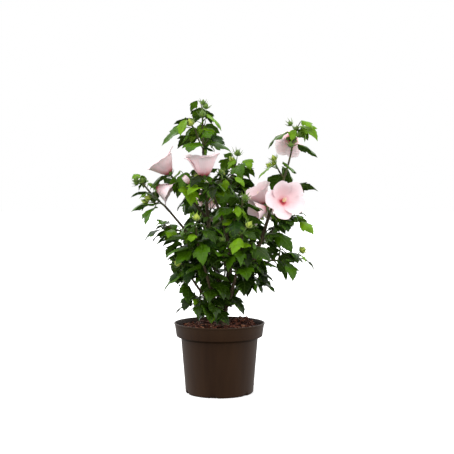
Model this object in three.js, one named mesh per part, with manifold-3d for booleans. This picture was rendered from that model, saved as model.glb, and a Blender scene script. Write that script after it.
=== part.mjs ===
// A hibiscus shrub in flower, standing in a brown nursery pot filled with bark compost.
// Millimetres, +Z up. The origin is the centre of the pot's flat underside, and the front faces -Y.
import * as THREE from "three";
import { mergeVertices } from "three/addons/utils/BufferGeometryUtils.js";
import Module from "manifold-3d";

const wasm = await Module();
wasm.setup();

// Driving sizes of the pot, which set the scale of everything else.
const pot = {
  height: 147,
  rimRadius: 95,
  bandHeight: 28,
  bandFootRadius: 90,
  ledgeHeight: 4.5,
  shoulderRadius: 80.5,
  footRadius: 71,
  footChamfer: 2.5,
  wall: 2,
  floor: 3,
  lip: 1,
  sides: 40,
  notches: 6,
  firstNotch: 1 / 3, // of the way from one to the next
  notchWidth: 14.5,
  notchHeight: 6,
  notchDepth: 6,
};

// The compost's top is uneven, with one heap of bark at the back right and a level seat for the trunk.
const compost = {
  level: 139,
  edgeDrop: 5,
  rings: [88, 78, 64, 50, 36, 20],
  lumps: 2.2,
  heap: { x: 56, y: 42, height: 14, width: 24 },
  seat: { inner: 30, outer: 46 },
};

const clearance = 0.3; // between two pieces that meet
const goldenTurn = 137.5; // degrees from one leaf to the next round a stem

// The trunk stands on the compost with a flared foot and a flat cut.
const trunk = {
  from: [5, 0, compost.level + clearance],
  to: [10, 0, 186],
  bow: [0, 0, 0],
  radii: [10.5, 8],
  flare: 6,
};

// Each bough is one bare limb: where it leaves its parent, where its leaves begin, and how far its
// middle bows away from the straight line between them.
const boughs = {
  right_bough: { on: "trunk", at: 0.8, to: [105, 10, 376], bow: [9, 0, -8], radii: [6, 3.3] },
  tall_bough: { on: "trunk", at: 0.98, to: [-30, 13, 430], bow: [-6, 3, 0], radii: [5.4, 2.9] },
  centre_bough: { on: "trunk", at: 0.9, to: [-8, -50, 402], bow: [21, -3, -6], radii: [5, 2.7] },
  back_bough: { on: "trunk", at: 0.85, to: [20, 62, 392], bow: [6, 14, 0], radii: [4.6, 2.6] },
  back_left_bough: { on: "trunk", at: 0.7, to: [-34, 66, 318], bow: [-4, 8, -6], radii: [4, 2.5] },
  back_right_bough: { on: "trunk", at: 0.62, to: [50, 64, 306], bow: [2, 6, -8], radii: [4, 2.5] },
  front_left_bough: { on: "trunk", at: 0.55, to: [-30, -60, 268], bow: [-2, -6, -8], radii: [3.8, 2.4] },
  front_right_bough: { on: "trunk", at: 0.66, to: [36, -60, 264], bow: [2, -6, -8], radii: [3.8, 2.4] },
  left_low_bough: { on: "tall_bough", at: 0.3, to: [-113, -20, 391], bow: [6, 0, -5], radii: [3.6, 2.2] },
  left_upper_bough: { on: "tall_bough", at: 0.72, to: [-66, -12, 416], bow: [0, 0, -2], radii: [2.8, 2.1] },
  right_low_bough: { on: "right_bough", at: 0.56, to: [106, -4, 277], bow: [0, 0, -9], radii: [2.9, 2] },
  right_foot_bough: { on: "right_bough", at: 0.16, to: [60, 14, 238], bow: [0, 0, -2], radii: [2.6, 1.9] },
  left_foot_bough: { on: "trunk", at: 0.5, to: [-60, -24, 246], bow: [0, 0, -7], radii: [3.4, 2.1] },
  back_foot_bough: { on: "trunk", at: 0.4, to: [6, 56, 208], bow: [0, 0, -5], radii: [3.4, 2.1] },
};

// Each mass of foliage grows from one stem. gap is the distance between leaves along a stem, turn
// is the first leaf's direction in degrees, and leaf gives blade lengths at its foot and its tip. A
// stem is bare of leaves between the two shares of its length in bare.
const masses = {
  tall_crown: { on: "tall_bough", at: 1, to: [-35, 4, 590], bow: [-2, 0, 0], radii: [2.5, 1.6],
    gap: 12, turn: 10, leaf: [62, 56], buds: 5, shoots: [{ at: 0.5, to: [-51, -8, 550] }], bare: [0, 0.5] },
  left_crown: { on: "left_upper_bough", at: 1, to: [-103, -20, 458], bow: [0, 0, -2], radii: [2, 1.6],
    gap: 12, turn: 200, leaf: [58, 44], buds: 2, shoots: [{ at: 0.5, to: [-62, -40, 442] }] },
  left_tip: { on: "left_low_bough", at: 1, to: [-158, -30, 438], bow: [0, 0, -3], radii: [2, 1.6],
    gap: 10, turn: 150, leaf: [56, 34], buds: 6, shoots: [{ at: 0.25, to: [-135, -20, 398] }] },
  right_crown: { on: "right_bough", at: 1, to: [158, 25, 552], bow: [9, 0, 0], radii: [2.6, 1.6],
    gap: 17, turn: 72, leaf: [62, 54], buds: 7, shoots: [{ at: 0.42, to: [122, 24, 470] }],
    bare: [0.54, 0.74] },
  right_bloom: { on: "right_bough", at: 0.97, to: [130, 22, 366], bow: [0, 0, 2], radii: [2.2, 1.6],
    gap: 11, turn: 250, leaf: [46, 40], buds: 1, shoots: [{ at: 0.3, to: [160, -8, 364] }] },
  centre_crown: { on: "centre_bough", at: 1, to: [-24, -56, 448], bow: [0, 0, 0], radii: [2.2, 1.6],
    gap: 11, turn: 160, leaf: [60, 50], buds: 4,
    shoots: [{ at: 0.25, to: [-60, -52, 436] }, { at: 0.4, to: [6, -58, 446] }] },
  right_low_crown: { on: "right_low_bough", at: 1, to: [160, -15, 289], bow: [0, 0, -4], radii: [1.9, 1.6],
    gap: 9, turn: 30, leaf: [52, 38], buds: 2, shoots: [{ at: 0.3, to: [128, 20, 300] }] },
  left_foot_crown: { on: "left_foot_bough", at: 1, to: [-73, -31, 266], bow: [0, 0, 0], radii: [2, 1.6],
    gap: 8, turn: 170, leaf: [54, 44], buds: 1, shoots: [{ at: 0.1, to: [-74, -20, 232] }] },
  right_foot_crown: { on: "right_foot_bough", at: 1, to: [76, 20, 246], bow: [0, 0, 0], radii: [1.9, 1.6],
    gap: 8, turn: 250, leaf: [50, 46], buds: 0, shoots: [{ at: 0.2, to: [70, -6, 226] }] },
  base_crown: { on: "trunk", at: 0.3, to: [-52, -28, 206], bow: [0, 0, 2], radii: [2.6, 1.6],
    gap: 9, turn: 200, leaf: [48, 42], buds: 0, shoots: [{ at: 0.5, to: [-38, -48, 200] }] },
  base_front_crown: { on: "trunk", at: 0.42, to: [-32, -46, 204], bow: [0, 0, 3], radii: [2.4, 1.6],
    gap: 10, turn: 120, leaf: [46, 42], buds: 0, shoots: [{ at: 0.6, to: [-20, -58, 190] }] },
  upper_right_crown: { on: "back_bough", at: 1, to: [36, 88, 484], bow: [-4, 0, 0], radii: [2.4, 1.6],
    gap: 13, turn: 60, leaf: [62, 46], buds: 4,
    shoots: [{ at: 0.3, to: [8, 60, 448] }, { at: 0.35, to: [50, 100, 440] }] },
  back_left_crown: { on: "back_left_bough", at: 1, to: [-50, 112, 400], bow: [-4, 6, 0], radii: [2.4, 1.6],
    gap: 14, turn: 80, leaf: [64, 48], buds: 3, shoots: [{ at: 0.3, to: [-20, 110, 380] }] },
  back_right_crown: { on: "back_right_bough", at: 1, to: [62, 118, 398], bow: [4, 6, 0], radii: [2.4, 1.6],
    gap: 14, turn: 120, leaf: [64, 48], buds: 3, shoots: [{ at: 0.3, to: [76, 84, 356] }] },
  front_left_crown: { on: "front_left_bough", at: 1, to: [-46, -106, 350], bow: [-3, -6, 0],
    radii: [2.3, 1.6], gap: 12, turn: 230, leaf: [60, 46], buds: 2,
    shoots: [{ at: 0.3, to: [-66, -66, 318] }] },
  front_right_crown: { on: "front_right_bough", at: 1, to: [46, -112, 338], bow: [3, -6, 0],
    radii: [2.3, 1.6], gap: 12, turn: 290, leaf: [62, 46], buds: 2,
    shoots: [{ at: 0.3, to: [20, -92, 312] }] },
  back_foot_crown: { on: "back_foot_bough", at: 1, to: [12, 100, 246], bow: [0, 3, 0], radii: [2, 1.6],
    gap: 9, turn: 60, leaf: [58, 46], buds: 0, shoots: [] },
  fork_front_spur: { on: "trunk", at: 0.72, to: [-20, -40, 228], bow: [0, 0, 6], radii: [2.4, 1.6],
    gap: 9, turn: 240, leaf: [54, 48], buds: 0, shoots: [] },
  fork_left_spur: { on: "trunk", at: 0.92, to: [-30, -22, 246], bow: [0, 0, 0], radii: [2.4, 1.6],
    gap: 8, turn: 200, leaf: [56, 48], buds: 0, shoots: [] },
  tall_low_spur: { on: "tall_bough", at: 0.26, to: [-46, -36, 310], bow: [0, 0, 0], radii: [2.3, 1.6],
    gap: 9, turn: 150, leaf: [58, 48], buds: 0, shoots: [] },
  tall_back_spur: { on: "tall_bough", at: 0.2, to: [-36, 44, 262], bow: [0, 0, 0], radii: [2.3, 1.6],
    gap: 11, turn: 40, leaf: [58, 50], buds: 0, shoots: [] },
  centre_low_spur: { on: "centre_bough", at: 0.3, to: [6, -72, 296], bow: [0, 0, 0], radii: [2.3, 1.6],
    gap: 9, turn: 100, leaf: [58, 48], buds: 0, shoots: [] },
  right_low_spur: { on: "right_bough", at: 0.3, to: [66, -34, 276], bow: [0, 0, 0], radii: [2.2, 1.6],
    gap: 9, turn: 320, leaf: [58, 48], buds: 0, shoots: [] },
  right_back_spur: { on: "right_bough", at: 0.36, to: [74, 48, 296], bow: [0, 0, 0], radii: [2.2, 1.6],
    gap: 11, turn: 20, leaf: [58, 48], buds: 0, shoots: [] },
  back_spur: { on: "back_bough", at: 0.45, to: [2, 84, 322], bow: [0, 0, 0], radii: [2.2, 1.6],
    gap: 11, turn: 90, leaf: [60, 50], buds: 0, shoots: [] },
  back_upper_spur: { on: "back_bough", at: 0.72, to: [46, 62, 390], bow: [0, 0, 0], radii: [2.2, 1.6],
    gap: 11, turn: 0, leaf: [58, 48], buds: 0, shoots: [] },
  tall_spur: { on: "tall_bough", at: 0.46, to: [-58, 30, 340], bow: [0, 0, -4], radii: [2.2, 1.6],
    gap: 10, turn: 20, leaf: [60, 50], buds: 0, shoots: [] },
  tall_inner_spur: { on: "tall_bough", at: 0.62, to: [28, 30, 388], bow: [0, 0, -4], radii: [2.2, 1.6],
    gap: 10, turn: 300, leaf: [60, 50], buds: 1, shoots: [] },
  centre_spur: { on: "centre_bough", at: 0.52, to: [-28, -84, 344], bow: [0, 0, -4], radii: [2.2, 1.6],
    gap: 10, turn: 120, leaf: [58, 48], buds: 0, shoots: [] },
  centre_right_spur: { on: "centre_bough", at: 0.7, to: [48, -66, 398], bow: [0, 0, -4],
    radii: [2.2, 1.6], gap: 10, turn: 200, leaf: [62, 50], buds: 1, shoots: [] },
  right_inner_spur: { on: "right_bough", at: 0.45, to: [44, 34, 338], bow: [0, 0, 0], radii: [2.2, 1.6],
    gap: 10, turn: 320, leaf: [58, 48], buds: 0, shoots: [] },
  left_low_spur: { on: "left_low_bough", at: 0.62, to: [-114, -36, 352], bow: [0, 0, -2], radii: [1.9, 1.6],
    gap: 8, turn: 200, leaf: [56, 46], buds: 0, shoots: [] },
  left_mid_spur: { on: "left_low_bough", at: 0.2, to: [-84, -34, 312], bow: [0, 0, -2], radii: [2, 1.6],
    gap: 9, turn: 160, leaf: [58, 48], buds: 0, shoots: [] },
  right_outer_spur: { on: "right_bough", at: 0.72, to: [116, 26, 344], bow: [0, 0, -3],
    radii: [2, 1.6], gap: 9, turn: 40, leaf: [56, 46], buds: 0, shoots: [] },
};

// Each bloom sits on a short stalk of its mass: where its calyx is, the way it faces, the radius and
// the depth of its funnel of petals, and for one of them the spin, in turns, of the petals about its axis.
const blooms = [
  { mass: "left_crown", at: 1, calyx: [-101, -20, 456], faces: [-0.62, -0.14, 0.78], radius: 34, depth: 45,
    spin: 0.15 },
  { mass: "left_tip", at: 0.4, calyx: [-131, -32, 430], faces: [0.88, -0.1, -0.36], radius: 24, depth: 36 },
  { mass: "centre_crown", at: 1, calyx: [-29, -58, 449], faces: [-0.13, -0.12, 0.98], radius: 37, depth: 50 },
  { mass: "centre_crown", at: 0.6, calyx: [-60, -50, 437], faces: [-0.6, -0.3, 0.7], radius: 8, depth: 22 },
  { mass: "right_bloom", at: 0.4, calyx: [131, -6, 399], faces: [0.22, -0.93, 0.27], radius: 36, depth: 31 },
  { mass: "right_bloom", at: 0.1, calyx: [96, 22, 394], faces: [-0.5, -0.25, 0.8], radius: 30, depth: 40 },
  { mass: "right_bloom", at: 0.2, calyx: [98, -14, 386], faces: [-0.85, -0.4, -0.25], radius: 24, depth: 36 },
  { mass: "right_crown", at: 0.88, calyx: [154, 35, 533], faces: [-0.15, 0.7, -0.25], radius: 30, depth: 32 },
  { mass: "back_spur", at: 1, calyx: [0, 92, 330], faces: [-0.1, 0.95, 0.2], radius: 36, depth: 40 },
  { mass: "back_left_crown", at: 1, calyx: [-34, 124, 402], faces: [0.2, 0.92, 0.3], radius: 34, depth: 40 },
  { mass: "back_right_crown", at: 0.7, calyx: [74, 108, 384], faces: [0.75, 0.5, 0.3], radius: 34, depth: 38 },
];

const leafShape = {
  edge: [[0, 0.02], [0.2, 0.25], [0.56, 0.34], [0.62, 0.17]], // along, across
  ridge: 0.42, // where along the blade it is thickest
  thickness: 0.026, // of its length
  petiole: 0.9, // half the stalk's width
  sunk: 0.3, // how far the stalk starts beyond the stem's centre line
};

// How a blade is held, in degrees: its pitch at the base, how far it curls down to the tip, its roll
// about its own line and the fold along its midrib, each from its first value to its second.
const posture = { pitch: [22, -28], curl: [25, 85], roll: [-38, 38], fold: [-20, 12] };
const rimRoom = 30; // how far out from the pot's rim the low leaves stay clear of it

const lerp = (a, b, t) => a + (b - a) * t;
const radians = (degrees) => (degrees * Math.PI) / 180;
const vector = (list) => new THREE.Vector3(...list);
const up = new THREE.Vector3(0, 0, 1);

// A repeatable series of numbers from 0 to 1.
function series(seed) {
  let state = 7919 * seed + 104729;
  const next = () => {
    state = (state * 16807) % 2147483647;
    return state / 2147483647;
  };
  next();
  next();
  return next;
}

// A limb's centre line: straight from end to end, with its middle pushed out by the bow.
function path(limb) {
  const from = vector(limb.from);
  const to = vector(limb.to);
  const bow = vector(limb.bow);
  return (t) => from.clone().lerp(to, t).addScaledVector(bow, 4 * t * (1 - t));
}

const lengthOf = (line) => {
  let sum = 0;
  for (let i = 0; i < 16; i++) sum += line(i / 16).distanceTo(line((i + 1) / 16));
  return sum;
};

// The line's direction at t, and two directions square to it.
function frameAt(line, t) {
  const ahead = line(Math.min(1, t + 0.01)).sub(line(Math.max(0, t - 0.01))).normalize();
  const side = new THREE.Vector3(0, 1, 0);
  if (Math.abs(ahead.y) > 0.8) side.set(1, 0, 0);
  const u = side.clone().cross(ahead).normalize();
  const v = ahead.clone().cross(u);
  return { ahead, u, v };
}

function solidFrom(geometry, nearest = 1e-4) {
  const bare = new THREE.BufferGeometry();
  bare.setAttribute("position", geometry.getAttribute("position"));
  if (geometry.index) bare.setIndex(geometry.index);
  const merged = mergeVertices(bare, nearest);
  return new wasm.Manifold(new wasm.Mesh({
    numProp: 3,
    vertProperties: new Float32Array(merged.attributes.position.array),
    triVerts: new Uint32Array(merged.index.array),
  }));
}

function geometryFrom(solid) {
  const mesh = solid.getMesh();
  const places = new Float32Array(mesh.numVert * 3);
  for (let i = 0; i < mesh.numVert; i++) {
    places.set(mesh.vertProperties.subarray(i * mesh.numProp, i * mesh.numProp + 3), i * 3);
  }
  const geometry = new THREE.BufferGeometry();
  geometry.setAttribute("position", new THREE.BufferAttribute(places, 3));
  geometry.setIndex(new THREE.BufferAttribute(new Uint32Array(mesh.triVerts), 1));
  return geometry;
}

// Moves each point of a geometry to where place() puts it.
function mapped(geometry, place) {
  const at = geometry.getAttribute("position");
  const point = new THREE.Vector3();
  for (let i = 0; i < at.count; i++) {
    point.fromBufferAttribute(at, i);
    const moved = place(point);
    at.setXYZ(i, moved.x, moved.y, moved.z);
  }
  return geometry;
}

// A closed tapering tube along a line, grown all round by extra.
function tube(line, radii, sides, steps, extra = 0) {
  const cylinder = new THREE.CylinderGeometry(1, 1, 1, sides, steps);
  return solidFrom(mapped(cylinder, (p) => {
    const t = p.y + 0.5;
    const radius = lerp(radii[0], radii[1], t) + extra;
    const { ahead, u, v } = frameAt(line, t);
    const end = extra * (t < 0.001 ? -1 : t > 0.999 ? 1 : 0);
    return line(t).addScaledVector(u, -p.x * radius).addScaledVector(v, p.z * radius)
      .addScaledVector(ahead, end);
  }));
}

function trunkSolid(extra = 0) {
  const line = path(trunk);
  const cylinder = new THREE.CylinderGeometry(1, 1, 1, 12, 8);
  return solidFrom(mapped(cylinder, (p) => {
    const t = p.y + 0.5;
    const angle = Math.atan2(p.z, p.x);
    const foot = Math.exp(-7 * t);
    const buttress = 1 + 0.35 * Math.cos(3 * angle + 0.6);
    const radius = lerp(trunk.radii[0], trunk.radii[1], t) + trunk.flare * foot * buttress + extra;
    const shoulder = t > 0.95 ? 0.86 : 1;
    const reach = Math.hypot(p.x, p.z) * radius * shoulder;
    const centre = line(t);
    const z = centre.z + (t > 0.999 ? extra : 0);
    return new THREE.Vector3(centre.x + reach * Math.cos(angle), centre.y - reach * Math.sin(angle), z);
  }));
}

function potSolid() {
  const p = pot;
  const bandFoot = p.height - p.bandHeight;
  const shoulder = bandFoot - p.ledgeHeight;
  const inner = p.wall;
  const profile = [
    [0, 0], [p.footRadius - p.footChamfer, 0], [p.footRadius, p.footChamfer],
    [p.shoulderRadius, shoulder], [p.bandFootRadius, bandFoot],
    [p.rimRadius - p.lip, p.height - 2 * p.lip], [p.rimRadius, p.height - p.lip], [p.rimRadius - p.lip, p.height],
    [p.rimRadius - p.lip - inner, p.height], [p.bandFootRadius - inner, bandFoot + 1],
    [p.shoulderRadius - inner, shoulder + 1], [p.footRadius - inner, p.floor], [0, p.floor],
  ].map(([r, z]) => new THREE.Vector2(r, z));
  const shell = solidFrom(new THREE.LatheGeometry(profile, p.sides).rotateX(Math.PI / 2));
  const cuts = [];
  for (let i = 0; i < p.notches; i++) {
    const angle = (2 * Math.PI * (i + p.firstNotch)) / p.notches;
    const arch = new THREE.CylinderGeometry(1, 1, 2 * p.notchDepth, 8);
    arch.rotateZ(Math.PI / 2).scale(1, p.notchWidth / 2, p.notchHeight);
    arch.rotateZ(angle).translate(p.footRadius * Math.cos(angle), p.footRadius * Math.sin(angle), 0);
    cuts.push(solidFrom(arch));
  }
  return shell.subtract(wasm.Manifold.union(cuts));
}

// How high the compost lies at a place.
function compostHeight(x, y) {
  const c = compost;
  const reach = Math.hypot(x, y);
  const fromTrunk = Math.hypot(x - trunk.from[0], y - trunk.from[1]);
  const free = THREE.MathUtils.smoothstep(fromTrunk, c.seat.inner, c.seat.outer);
  const edge = THREE.MathUtils.smoothstep(reach, 60, 88);
  const lumps = Math.sin(x * 0.21 + 1.3) * Math.cos(y * 0.17) + 0.6 * Math.sin(x * 0.11 - y * 0.24);
  const away = ((x - c.heap.x) ** 2 + (y - c.heap.y) ** 2) / c.heap.width ** 2;
  const heap = c.heap.height * Math.exp(-away) * (1 - 0.8 * edge);
  return c.level + free * (c.lumps * lumps + heap - c.edgeDrop * edge);
}

function compostSolid() {
  const p = pot;
  const gap = p.wall + clearance;
  const bandFoot = p.height - p.bandHeight;
  const shoulder = bandFoot - p.ledgeHeight;
  const wallTop = lerp(p.bandFootRadius, p.rimRadius, (compost.level - bandFoot) / p.bandHeight);
  const profile = [
    [0, p.floor + clearance], [p.footRadius - gap - 0.2, p.floor + clearance],
    [p.shoulderRadius - gap - 0.2, shoulder + 1], [p.bandFootRadius - gap - 0.2, bandFoot + 1.6],
    [wallTop - gap - 1.6, compost.level - 6], ...compost.rings.map((r) => [r, compost.level]),
    [0, compost.level],
  ].map(([r, z]) => new THREE.Vector2(r, z));
  const body = new THREE.LatheGeometry(profile, 26).rotateX(Math.PI / 2);
  return solidFrom(mapped(body, (q) => {
    if (q.z < compost.level - 0.01) return q;
    return new THREE.Vector3(q.x, q.y, compostHeight(q.x, q.y));
  }));
}

// A leaf is set by its root on the stem, its heading, the angle at which the blade sets off, how
// far it curls down to the tip, its roll about its own line and the fold along its midrib.
function leafFrame(leaf) {
  const heading = vector([Math.cos(leaf.heading), Math.sin(leaf.heading), 0]);
  const side = up.clone().cross(heading);
  return { heading, side };
}

// The place of a point x along and y across the blade, lifted off its surface.
function bladePoint(leaf, x, y, lift = 0) {
  const { heading, side } = leafFrame(leaf);
  const curl = Math.max(leaf.curl, 0.01);
  const angle = leaf.pitch - curl * x;
  const along = (Math.sin(leaf.pitch) - Math.sin(angle)) / curl;
  const rise = (Math.cos(angle) - Math.cos(leaf.pitch)) / curl;
  const normal = heading.clone().multiplyScalar(-Math.sin(angle)).addScaledVector(up, Math.cos(angle));
  const across = side.clone().multiplyScalar(Math.cos(leaf.roll)).addScaledVector(normal, Math.sin(leaf.roll));
  const out = normal.multiplyScalar(Math.cos(leaf.roll)).addScaledVector(side, -Math.sin(leaf.roll));
  return leaf.base.clone()
    .addScaledVector(heading, leaf.length * along)
    .addScaledVector(up, leaf.length * rise)
    .addScaledVector(across, leaf.length * y * Math.cos(leaf.fold))
    .addScaledVector(out, leaf.length * Math.abs(y) * Math.sin(leaf.fold) + lift);
}

// A thin closed blade with two side lobes and its stalk, which starts inside the stem. spare makes
// it larger, to test that a leaf stays clear.
function leafSolid(leaf, spare = 0) {
  const s = leafShape;
  const half = (s.thickness * leaf.length) / 2 + spare;
  const grown = 1 + (2 * spare) / leaf.length;
  const stalk = s.petiole + spare;
  const stalkLine = leaf.base.clone().sub(leaf.root).normalize();
  const start = leaf.root.clone().addScaledVector(stalkLine, -s.sunk);
  const stalkSide = up.clone().cross(stalkLine).normalize();
  const stalkUp = stalkLine.clone().cross(stalkSide).multiplyScalar(stalk);
  const points = [];
  const add = (p) => points.push(p) - 1;
  const edge = [1, -1].map((k) => s.edge.map(([x, y]) => add(bladePoint(leaf, x * grown, k * y * grown))));
  const tip = add(bladePoint(leaf, grown, 0));
  const root = [1, -1].map((k) => add(start.clone().addScaledVector(stalkUp, k)));
  const faces = [];
  [1, -1].forEach((k, under) => {
    const base = add(bladePoint(leaf, 0, 0, k * stalk));
    const ridge = add(bladePoint(leaf, s.ridge, 0, k * half));
    edge.forEach((e, side) => {
      const turned = side === under;
      const face = (a, b, c) => faces.push(...(turned ? [a, c, b] : [a, b, c]));
      face(root[under], e[0], base);
      face(e[0], e[1], base);
      face(e[1], ridge, base);
      face(e[1], e[2], ridge);
      face(e[2], e[3], ridge);
      face(e[3], tip, ridge);
      if (k > 0) face(root[1], e[0], root[0]);
    });
  });
  const geometry = new THREE.BufferGeometry();
  geometry.setAttribute("position", new THREE.Float32BufferAttribute(points.flatMap((p) => p.toArray()), 3));
  geometry.setIndex(faces);
  return solidFrom(geometry);
}

// Points of a leaf that have to keep their distance from everything else.
const feelers = [
  [0.14, 0], [0.34, 0.22], [0.34, -0.22], [0.46, 0], [0.55, 0.3], [0.55, -0.3], [0.72, 0], [0.98, 0],
];

// Two directions square to another.
function squareTo(axis) {
  const side = Math.abs(axis.z) > 0.9 ? vector([1, 0, 0]) : up.clone();
  const u = side.cross(axis).normalize();
  return [u, axis.clone().cross(u)];
}

// A bloom is a funnel of five petals, with a dip in the rim where two of them meet. turn goes once
// round it, from a seam on, and along is 0 at the calyx and 1 at the rim.
function petalPoint(bloom, turn, along, lift = 0) {
  const face = vector(bloom.faces).normalize();
  const [u, v] = squareTo(face);
  const seam = (1 + Math.cos(10 * Math.PI * turn)) / 2;
  const rounded = along * (1 - 0.14 * seam);
  const flare = Math.max(0, rounded - 0.7);
  const radius = bloom.radius * (0.1 + 0.82 * rounded ** 0.72 + 0.9 * flare ** 2) - 2 * seam * along + lift;
  const height = bloom.depth * (rounded - 1.1 * flare * flare);
  const angle = 2 * Math.PI * (turn + (bloom.spin ?? 0));
  return vector(bloom.calyx).addScaledVector(face, height)
    .addScaledVector(u, radius * Math.cos(angle)).addScaledVector(v, radius * Math.sin(angle));
}

// A closed solid of rings, from its first point to its last. Each ring gives a point for a turn.
function ringedSolid(sides, rings) {
  const profile = rings.map((_, k) => new THREE.Vector2(k % (rings.length - 1) ? 1 : 0, k));
  const lathe = new THREE.LatheGeometry(profile, sides).rotateX(Math.PI / 2);
  const turnOf = (p) => (Math.atan2(p.y, p.x) / (2 * Math.PI) + 1) % 1;
  return solidFrom(mapped(lathe, (p) => rings[Math.round(p.z)](turnOf(p))));
}

function ringAround(centre, [u, v], radius, turn) {
  const angle = 2 * Math.PI * turn;
  return centre.clone().addScaledVector(u, radius * Math.cos(angle))
    .addScaledVector(v, radius * Math.sin(angle));
}

// A bloom on its stalk, which swells into the calyx under the petals.
function bloomSolid(bloom, root) {
  const face = vector(bloom.faces).normalize();
  const calyx = vector(bloom.calyx);
  const across = squareTo(face);
  const bend = new THREE.Quaternion().setFromUnitVectors(face, calyx.clone().sub(root).normalize());
  const acrossStalk = across.map((axis) => axis.clone().applyQuaternion(bend));
  const cup = calyx.clone().addScaledVector(face, 5);
  const cupRadius = Math.min(5.5, bloom.radius * 0.5);
  const fifth = (turn) => Math.floor(5 * turn + 0.01) / 5;
  return ringedSolid(10, [
    () => root.clone(),
    (turn) => ringAround(root, acrossStalk, 1.3, fifth(turn)),
    (turn) => ringAround(calyx, across, 1.3, fifth(turn)),
    (turn) => ringAround(cup, across, cupRadius, turn),
    (turn) => petalPoint(bloom, turn, 0.4, 0.6),
    (turn) => petalPoint(bloom, turn, 0.75, 0.6),
    (turn) => petalPoint(bloom, turn, 1),
    (turn) => petalPoint(bloom, turn, 0.75, -0.6),
    () => calyx.clone().addScaledVector(face, 6.5),
  ]);
}

// A bud on its stalk: a drop that comes to a point.
function budSolid(bud) {
  const across = squareTo(bud.faces);
  const along = (k) => bud.at.clone().addScaledVector(bud.faces, k * bud.length);
  return ringedSolid(4, [
    () => bud.root.clone(),
    (turn) => ringAround(bud.root, across, 1.1, turn),
    (turn) => ringAround(bud.at, across, 1.1, turn),
    (turn) => ringAround(along(0.35), across, bud.radius, turn),
    (turn) => ringAround(along(0.68), across, bud.radius * 0.8, turn),
    () => along(1),
  ]);
}

// Where each limb starts on its parent's centre line.
const limbs = { trunk, ...boughs };
for (const bough of Object.values(boughs)) {
  bough.from = path(limbs[bough.on])(bough.at).toArray();
}
for (const mass of Object.values(masses)) {
  mass.from = path(limbs[mass.on])(mass.at).toArray();
}

// The stems of a mass: its own, then each of its shoots.
function stemsOf(mass) {
  const { from, to, bow, radii, bare = [0, 0] } = mass;
  const stem = { from, to, bow, radii, first: 0.12, bare };
  const shoots = mass.shoots.map((shoot) => {
    const foot = path(stem)(shoot.at).toArray();
    const thick = Math.max(1.7, lerp(radii[0], radii[1], shoot.at) * 0.85);
    return { from: foot, to: shoot.to, bow: [0, 0, -3], radii: [thick, 1.5], first: 0.3, bare: [0, 0] };
  });
  return [stem, ...shoots];
}

// Points along every limb and stem, each with its thickness, and on every petal.
const taken = [];
function mark(line, radii, owner) {
  const steps = Math.ceil(lengthOf(line) / 6);
  for (let i = 0; i <= steps; i++) {
    taken.push({ p: line(i / steps), r: lerp(radii[0], radii[1], i / steps) + 4, owner });
  }
}
for (const limb of Object.values(limbs)) mark(path(limb), limb.radii, "limb");
for (const [name, mass] of Object.entries(masses)) {
  for (const stem of stemsOf(mass)) mark(path(stem), stem.radii, name);
}
for (const bloom of blooms) {
  for (let k = 0; k < 10; k++) {
    for (const along of [0.35, 0.7, 1]) {
      taken.push({ p: petalPoint(bloom, k / 10 + 0.05, along), r: 9, owner: "bloom" });
    }
  }
  for (const along of [0.8, 1.3]) {
    const p = vector(bloom.calyx).addScaledVector(vector(bloom.faces).normalize(), bloom.depth * along);
    taken.push({ p, r: bloom.radius / 2, owner: "bloom" });
  }
}

// True where a leaf's feelers are clear of the pot, the compost and everything already there.
function leafIsClear(leaf, owner) {
  const room = { leaf: 7, other: 8 };
  return feelers.every(([x, y], i) => {
    const p = bladePoint(leaf, x, y);
    const inPot = Math.hypot(p.x, p.y) < pot.rimRadius + rimRoom;
    if (inPot && p.z < Math.max(compostHeight(p.x, p.y), pot.height - 4) + 5) return false;
    return taken.every((t) => {
      if (t.owner === owner && i < 2) return true;
      const reach = t.leaf ? (t.owner === owner ? room.leaf : room.other) : t.r;
      return t.p.distanceToSquared(p) > reach * reach;
    });
  });
}

// True where two solids that may be near each other share some space.
function touches(a, b) {
  const [p, q] = [a.boundingBox(), b.boundingBox()];
  const apart = [0, 1, 2].some((i) => p.min[i] > q.max[i] || q.min[i] > p.max[i]);
  return !apart && !a.intersect(b).isEmpty();
}

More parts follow.
